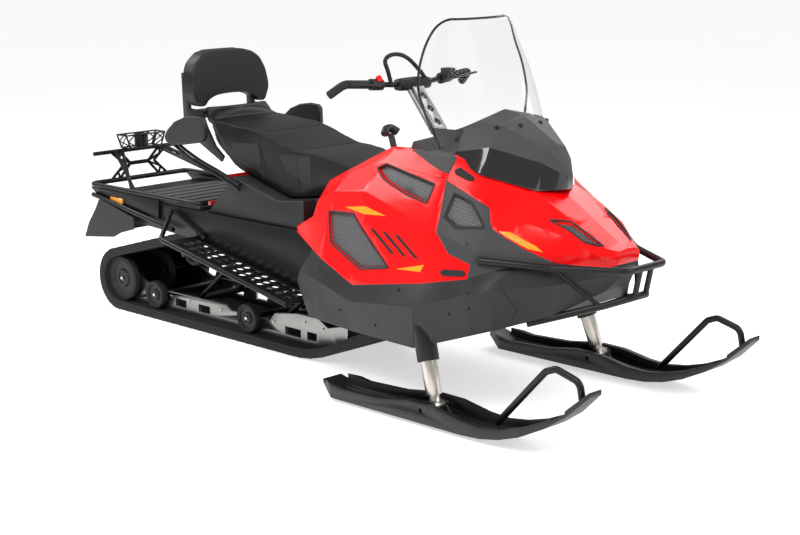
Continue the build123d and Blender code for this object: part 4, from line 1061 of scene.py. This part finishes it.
class SNOWMOBILE_OT_seat(bpy.types.Operator):
    """Upholsters the seat cushion with welted seams and grips, and adds the tail lamp's lenses"""
    bl_idname = "snowmobile.seat"
    bl_label = "Seat"

    def execute(self, context):
        seams = [SEAT_EDGE, other_side(SEAT_EDGE), SEAT_STEP, SEAT_REAR]
        bm = bmesh.new()
        bm.from_mesh(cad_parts["seat_cushion"].data)
        bmesh.ops.remove_doubles(bm, verts=bm.verts, dist=WELD)
        held_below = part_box("seat_cushion")[0].z + SEAT_HELD
        pad = upholstered("seat_cover", bm, "seat_cushion", seams, 5 * MM, held_below)
        welts(pad, seams, "seat_welts")
        cover = surface_tree(pad)
        bm = bmesh.new()
        for outline in SEAT_GRIPS:
            patch(bm, outline, "side", cover, GRIP_THICK)
        keep_pair(bm, "seat_grips", seat_grip_vinyl(), "seat_cover")
        bm = bmesh.new()
        for (x, z), radius in TAIL_LENSES:
            tube(bm, [mm(x, -TAIL_HALF, z), mm(x, TAIL_HALF, z)], radius * MM, sides=4)
        keep(bm, "tail_lenses", red_lamp_lens(), "chassis", "red_lens", crease=50)
        return {"FINISHED"}


# Grab handle on the right: its two bars, and its guard in side view
GRAB_BARS = ((-498, -281, 705), (-600, -283, 745), (-780, -316, 808), (-885, -345, 886))
GRAB_APART = 10
GUARD = ((-918, 893), (-896, 926), (-845, 967), (-780, 992), (-716, 1002), (-658, 999), (-642, 984),
         (-638, 917), (-652, 900), (-694, 886), (-790, 869), (-862, 861), (-902, 870))
GUARD_SIDES = (-358, -331)
GUARD_EDGE = 9 * MM
GRAB_TUBE = 7.5 * MM


class SNOWMOBILE_OT_grab_handles(bpy.types.Operator):
    """Makes the passenger's grab handles with their guards"""
    bl_idname = "snowmobile.grab_handles"
    bl_label = "Grab handles"

    def execute(self, context):
        bm = bmesh.new()
        face = bm.faces.new([bm.verts.new(mm(x, GUARD_SIDES[0], z)) for x, z in GUARD])
        extruded(bm, [face], mm(0, GUARD_SIDES[1] - GUARD_SIDES[0], 0))
        keep_pair(bm, "grab_guards", black_grained_polypropylene(), "black_plastic", ("grab_handles",),
                  crease=50, round_edges=GUARD_EDGE)
        bm = bmesh.new()
        for lift in (-GRAB_APART, GRAB_APART):
            tube(bm, [mm(x, y, z + lift) for x, y, z in GRAB_BARS], GRAB_TUBE, order=3)
        keep_pair(bm, "grab_bars", black_powder_coat(), "black_plastic")
        return {"FINISHED"}


# Backrest in front view from the top round its left side: half width and height
BACKREST_EDGE = ((0, 1264), (98, 1261), (152, 1247), (192, 1215), (217, 1170), (228, 1120), (226, 1072),
                 (211, 1034), (187, 1010), (160, 1012), (136, 1036), (104, 1052), (62, 1060), (0, 1062))
BACKREST_FOOT = (-892, 1008)  # x and z of its middle layer at its foot
BACKREST_LEAN = 0.13
BACKREST_HALF = 40  # half its thickness


class SNOWMOBILE_OT_backrest(bpy.types.Operator):
    """Upholsters the backrest"""
    bl_idname = "snowmobile.backrest"
    bl_label = "Backrest"

    def execute(self, context):
        def place(y, z, out):
            """A point of the leaning pad, out from its middle layer."""
            return mm(BACKREST_FOOT[0] - (z - BACKREST_FOOT[1]) * BACKREST_LEAN + out, y, z)
        outline = [*BACKREST_EDGE, *[(-y, z) for y, z in reversed(BACKREST_EDGE) if y]]
        bm = bmesh.new()
        face = bm.faces.new([bm.verts.new(place(y, z, BACKREST_HALF)) for y, z in outline])
        extruded(bm, [face], mm(-2 * BACKREST_HALF, 0, 0))
        bmesh.ops.recalc_face_normals(bm, faces=bm.faces)
        closed = outline + outline[:1]
        seams = [[place(y, z, out) for y, z in closed] for out in (BACKREST_HALF, -BACKREST_HALF)]
        pad = upholstered("backrest_cover", bm, "backrest_pad", seams, 4 * MM)
        welts(pad, seams, "backrest_welts")
        return {"FINISHED"}


# Windshield

# Edge of the sheet from its foot up: height, x, half width; then its middle: height, x
SHIELD_EDGE = ((985, 640, 250), (1015, 634, 262), (1065, 621, 277), (1107, 612, 297), (1156, 605, 311),
               (1205, 590, 320), (1280, 580, 307), (1350, 574, 275), (1396, 577, 251), (1432, 586, 229),
               (1452, 593, 206), (1464, 599, 180), (1469, 603, 152))
SHIELD_MIDDLE = ((985, 905), (1060, 862), (1125, 812), (1205, 752), (1300, 702), (1400, 662), (1469, 640))
SHIELD_COLUMNS = 33
SHIELD_BORDER = 1066  # the tinted border reaches up to here
SHIELD_THICK = 4 * MM
# screws that hold it to the cowl: x and y
SHIELD_BOLTS = ((728, -250), (839, -149), (880, -60))
SHIELD_BOLT_AXIS = (0.35, -0.5, 0.8)
SHIELD_BOLT = 10 * MM


def along(table, z):
    """The value of a (z, value) table at a height."""
    if z <= table[0][0]:
        return table[0][1]
    for (z0, v0), (z1, v1) in zip(table, table[1:]):
        if z <= z1:
            return v0 + (v1 - v0) * (z - z0) / (z1 - z0)
    return table[-1][1]


def shield_row(z, edge_x, half):
    """Points across the windshield at a height, from its right edge to its left edge, in metres."""
    deep = along(SHIELD_MIDDLE, z) - edge_x
    row = []
    for i in range(SHIELD_COLUMNS):
        angle = pi * (i / (SHIELD_COLUMNS - 1) - 0.5)
        row.append(mm(edge_x + deep * cos(angle), half * sin(angle), z))
    return row


class SNOWMOBILE_OT_windshield(bpy.types.Operator):
    """Makes the windshield with its edge trim, black border and bolts"""
    bl_idname = "snowmobile.windshield"
    bl_label = "Windshield"

    def execute(self, context):
        rows = [shield_row(*level) for level in SHIELD_EDGE]
        bm = bmesh.new()
        lines = []
        for row in rows:
            spots = [bm.verts.new(p) for p in row]
            lines.append([bm.edges.new(pair) for pair in zip(spots, spots[1:])])
        for low, high in zip(lines, lines[1:]):
            bmesh.ops.bridge_loops(bm, edges=low + high)
        bmesh.ops.recalc_face_normals(bm, faces=bm.faces)
        bmesh.ops.solidify(bm, geom=bm.faces[:], thickness=SHIELD_THICK)
        for face in bm.faces:
            face.material_index = int(face.calc_center_median().z < SHIELD_BORDER * MM)
        finishes = [clear_polycarbonate(), black_tint()]
        keep(bm, "windshield_sheet", finishes, "chassis", "clear", ("windshield",))
        rim = [row[0] for row in rows] + rows[-1][1:-1] + [row[-1] for row in reversed(rows)]
        bm = bmesh.new()
        tube(bm, rim, sizes().shield_rim, order=3)
        keep(bm, "windshield_rim", black_tint(), "chassis", "black_plastic")
        bm = bmesh.new()
        cowl = cad_tree("cowl")
        for x, y in SHIELD_BOLTS:
            bolt(bm, landed(cowl, mm(x, y), "plan"), SHIELD_BOLT_AXIS, SHIELD_BOLT)
        keep_pair(bm, "windshield_bolts", black_rubber(), "black_plastic")
        return {"FINISHED"}


# Bars, pad and grab strap

PAD_EDGE = 16 * MM
PAD_SHARE = 0.98  # the pad's size before it is smoothed, as a share of its solid
STRAP = ((262, -128, 1200), (268, -150, 1250), (272, -180, 1296), (276, -134, 1318), (278, -59, 1306),
         (280, 17, 1246), (275, 66, 1200))
STRAP_RADIUS = 8.5 * MM
# tubes along the riser: x and z of their foot and head, half the distance between them
RISER_FOOT = (397, 1020)
RISER_HEAD = (268, 1179)
RISER_HALF = 39
RISER_TUBE = 9 * MM
# stop button, radius and height
BUTTON = ((0, 12), (9, 11), (12, 7), (12, -14), (0, -14))
BUTTON_PLACE = (262, -196, 1222)
BUTTON_AXIS = (-0.5, 0, 0.86)
# stem and grip of the starter handle
STARTER_STEM = ((354, -200, 940), (330, -200, 1010))
STARTER_GRIP = ((334, -236, 1012), (322, -222, 1026), (320, -200, 1030), (322, -178, 1026), (334, -164, 1012))


class SNOWMOBILE_OT_bars(bpy.types.Operator):
    """Makes the bar pad, grab strap, riser tubes, stop button and starter handle"""
    bl_idname = "snowmobile.bars"
    bl_label = "Bars"

    def execute(self, context):
        low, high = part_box("bar_pad")
        bm = bmesh.new()
        block(bm, (high - low) * PAD_SHARE, (low + high) / 2, PAD_EDGE)
        bmesh.ops.subdivide_edges(bm, edges=bm.edges[:], cuts=1, use_grid_fill=True, smooth=0.2)
        pad = keep(bm, "bar_pad_cover", seat_vinyl(), "steering", "black_plastic", ("bar_pad",), level=1)
        bm = bmesh.new()
        tube(bm, [mm(*p) for p in STRAP], STRAP_RADIUS, order=3)
        keep(bm, "grab_strap", black_rubber(), "steering", "black_plastic")
        bm = bmesh.new()
        for y in (-RISER_HALF, RISER_HALF):
            tube(bm, [mm(x, y, z) for x, z in (RISER_FOOT, RISER_HEAD)], RISER_TUBE)
        keep(bm, "riser_tubes", brushed_aluminium(), "steering", "aluminium")
        bm = bmesh.new()
        turned(bm, in_mm(BUTTON), mm(*BUTTON_PLACE), BUTTON_AXIS)
        keep(bm, "stop_button", red_gloss_abs(), "steering", "red_plastic")
        bm = bmesh.new()
        tube(bm, [mm(*p) for p in STARTER_STEM], 13 * MM)
        tube(bm, [mm(*p) for p in STARTER_GRIP], 17 * MM, order=3)
        keep(bm, "starter_handle", black_grained_polypropylene(), "chassis", "black_plastic")
        return {"FINISHED"}


# Stage

FLOOR_HALF = 40
FLOOR_GLOW = 0.58
# the sky's strength for light, and where the eye meets it, straight or through the windshield
SKY = (0.4, 0.97)
# soft boxes: place, watts, size
SOFTBOXES = (
    ((1.5, -3.5, 4.5), 180, 3.0),
    ((5.0, 1.5, 3.5), 110, 3.0),
    ((-3.5, -1.0, 4.0), 110, 2.5),
    ((0.0, 4.0, 4.0), 90, 3.0),
)
LIGHT_TARGET = Vector((0.2, 0, 0.5))
CAMERA_TARGET = Vector((0.1899, 0, 0.4123))
CAMERA_AZIMUTH = radians(43.7524)
CAMERA_ELEVATION = radians(12.3662)
CAMERA_LENS = 74.2
CAMERA_SENSOR = 36.0


class SNOWMOBILE_OT_stage(bpy.types.Operator):
    """Makes the floor, the lights and the camera"""
    bl_idname = "snowmobile.stage"
    bl_label = "Stage"

    def floor(self, scene):
        bm = bmesh.new()
        bmesh.ops.create_grid(bm, x_segments=1, y_segments=1, size=FLOOR_HALF)
        mesh = bpy.data.meshes.new("floor")
        bm.to_mesh(mesh)
        bm.free()
        item = bpy.data.objects.new("floor", mesh)
        scene.collection.objects.link(item)
        # Matte white studio floor: even, with no shine
        finish = surface("studio_floor", (linear("F4F4F4"), linear("F7F7F7")), 2000, (0.7, 0.8), 40, 0.0,
                         specular_ior_level=0.0, emission_color=(1, 1, 1, 1), emission_strength=FLOOR_GLOW)
        mesh.materials.append(finish)

    def sky(self, scene):
        world = bpy.data.worlds.new("studio")
        world.use_nodes = True
        tree = world.node_tree
        light = tree.nodes["Background"]
        light.inputs["Color"].default_value = (1, 1, 1, 1)
        ray = add(tree, "ShaderNodeLightPath").outputs
        seen = add(tree, "ShaderNodeMath", {0: ray["Is Camera Ray"], 1: ray["Is Transmission Ray"]},
                   operation="MAXIMUM")
        power = add(tree, "ShaderNodeMapRange",
                    {"Value": seen.outputs["Value"], "To Min": SKY[0], "To Max": SKY[1]})
        tree.links.new(power.outputs["Result"], light.inputs["Strength"])
        scene.world = world

    def put(self, scene, name, data, place, way):
        """Places a light or camera that looks along a direction."""
        item = bpy.data.objects.new(name, data)
        item.location = place
        item.rotation_mode = "QUATERNION"
        item.rotation_quaternion = way.to_track_quat("-Z", "Y")
        scene.collection.objects.link(item)
        return item

    def execute(self, context):
        scene = context.scene
        scene.view_settings.view_transform = "Standard"
        self.floor(scene)
        self.sky(scene)
        for place, watts, size in SOFTBOXES:
            lamp = bpy.data.lights.new("softbox", "AREA")
            lamp.energy = watts
            lamp.size = size
            self.put(scene, "softbox", lamp, place, LIGHT_TARGET - Vector(place))
        eye = bpy.data.cameras.new("camera")
        eye.lens = CAMERA_LENS
        eye.sensor_width = CAMERA_SENSOR
        level = cos(CAMERA_ELEVATION)
        back = Vector((sin(CAMERA_AZIMUTH) * level, -cos(CAMERA_AZIMUTH) * level, sin(CAMERA_ELEVATION)))
        spot = CAMERA_TARGET + back * sizes().camera_distance
        scene.camera = self.put(scene, "camera", eye, spot, -back)
        return {"FINISHED"}


# Registration

PIECES = (
    SNOWMOBILE_OT_shell,
    SNOWMOBILE_OT_chassis,
    SNOWMOBILE_OT_trim,
    SNOWMOBILE_OT_running_gear,
    SNOWMOBILE_OT_skis,
    SNOWMOBILE_OT_tower,
    SNOWMOBILE_OT_seat,
    SNOWMOBILE_OT_grab_handles,
    SNOWMOBILE_OT_backrest,
    SNOWMOBILE_OT_windshield,
    SNOWMOBILE_OT_bars,
    SNOWMOBILE_OT_stage,
)


class SNOWMOBILE_PT_panel(bpy.types.Panel):
    """Lists the pieces and their settings"""
    bl_label = "Snowmobile"
    bl_idname = "SNOWMOBILE_PT_panel"
    bl_space_type = "VIEW_3D"
    bl_region_type = "UI"
    bl_category = "Snowmobile"

    def draw(self, context):
        for group in (context.scene.snowmobile_colours, context.scene.snowmobile_sizes):
            for name in group.bl_rna.properties.keys():
                if name not in {"rna_type", "name"}:
                    self.layout.prop(group, name)
        for piece in PIECES:
            self.layout.operator(piece.bl_idname)


CLASSES = (SnowmobileColours, SnowmobileSizes, *PIECES, SNOWMOBILE_PT_panel)


def register():
    for kind in CLASSES:
        bpy.utils.register_class(kind)
    bpy.types.Scene.snowmobile_colours = bpy.props.PointerProperty(type=SnowmobileColours)
    bpy.types.Scene.snowmobile_sizes = bpy.props.PointerProperty(type=SnowmobileSizes)


def unregister():
    del bpy.types.Scene.snowmobile_sizes
    del bpy.types.Scene.snowmobile_colours
    for kind in reversed(CLASSES):
        bpy.utils.unregister_class(kind)


def main():
    register()
    for piece in PIECES:
        group, name = piece.bl_idname.split(".")
        getattr(getattr(bpy.ops, group), name)()


if __name__ == "__main__":
    main()
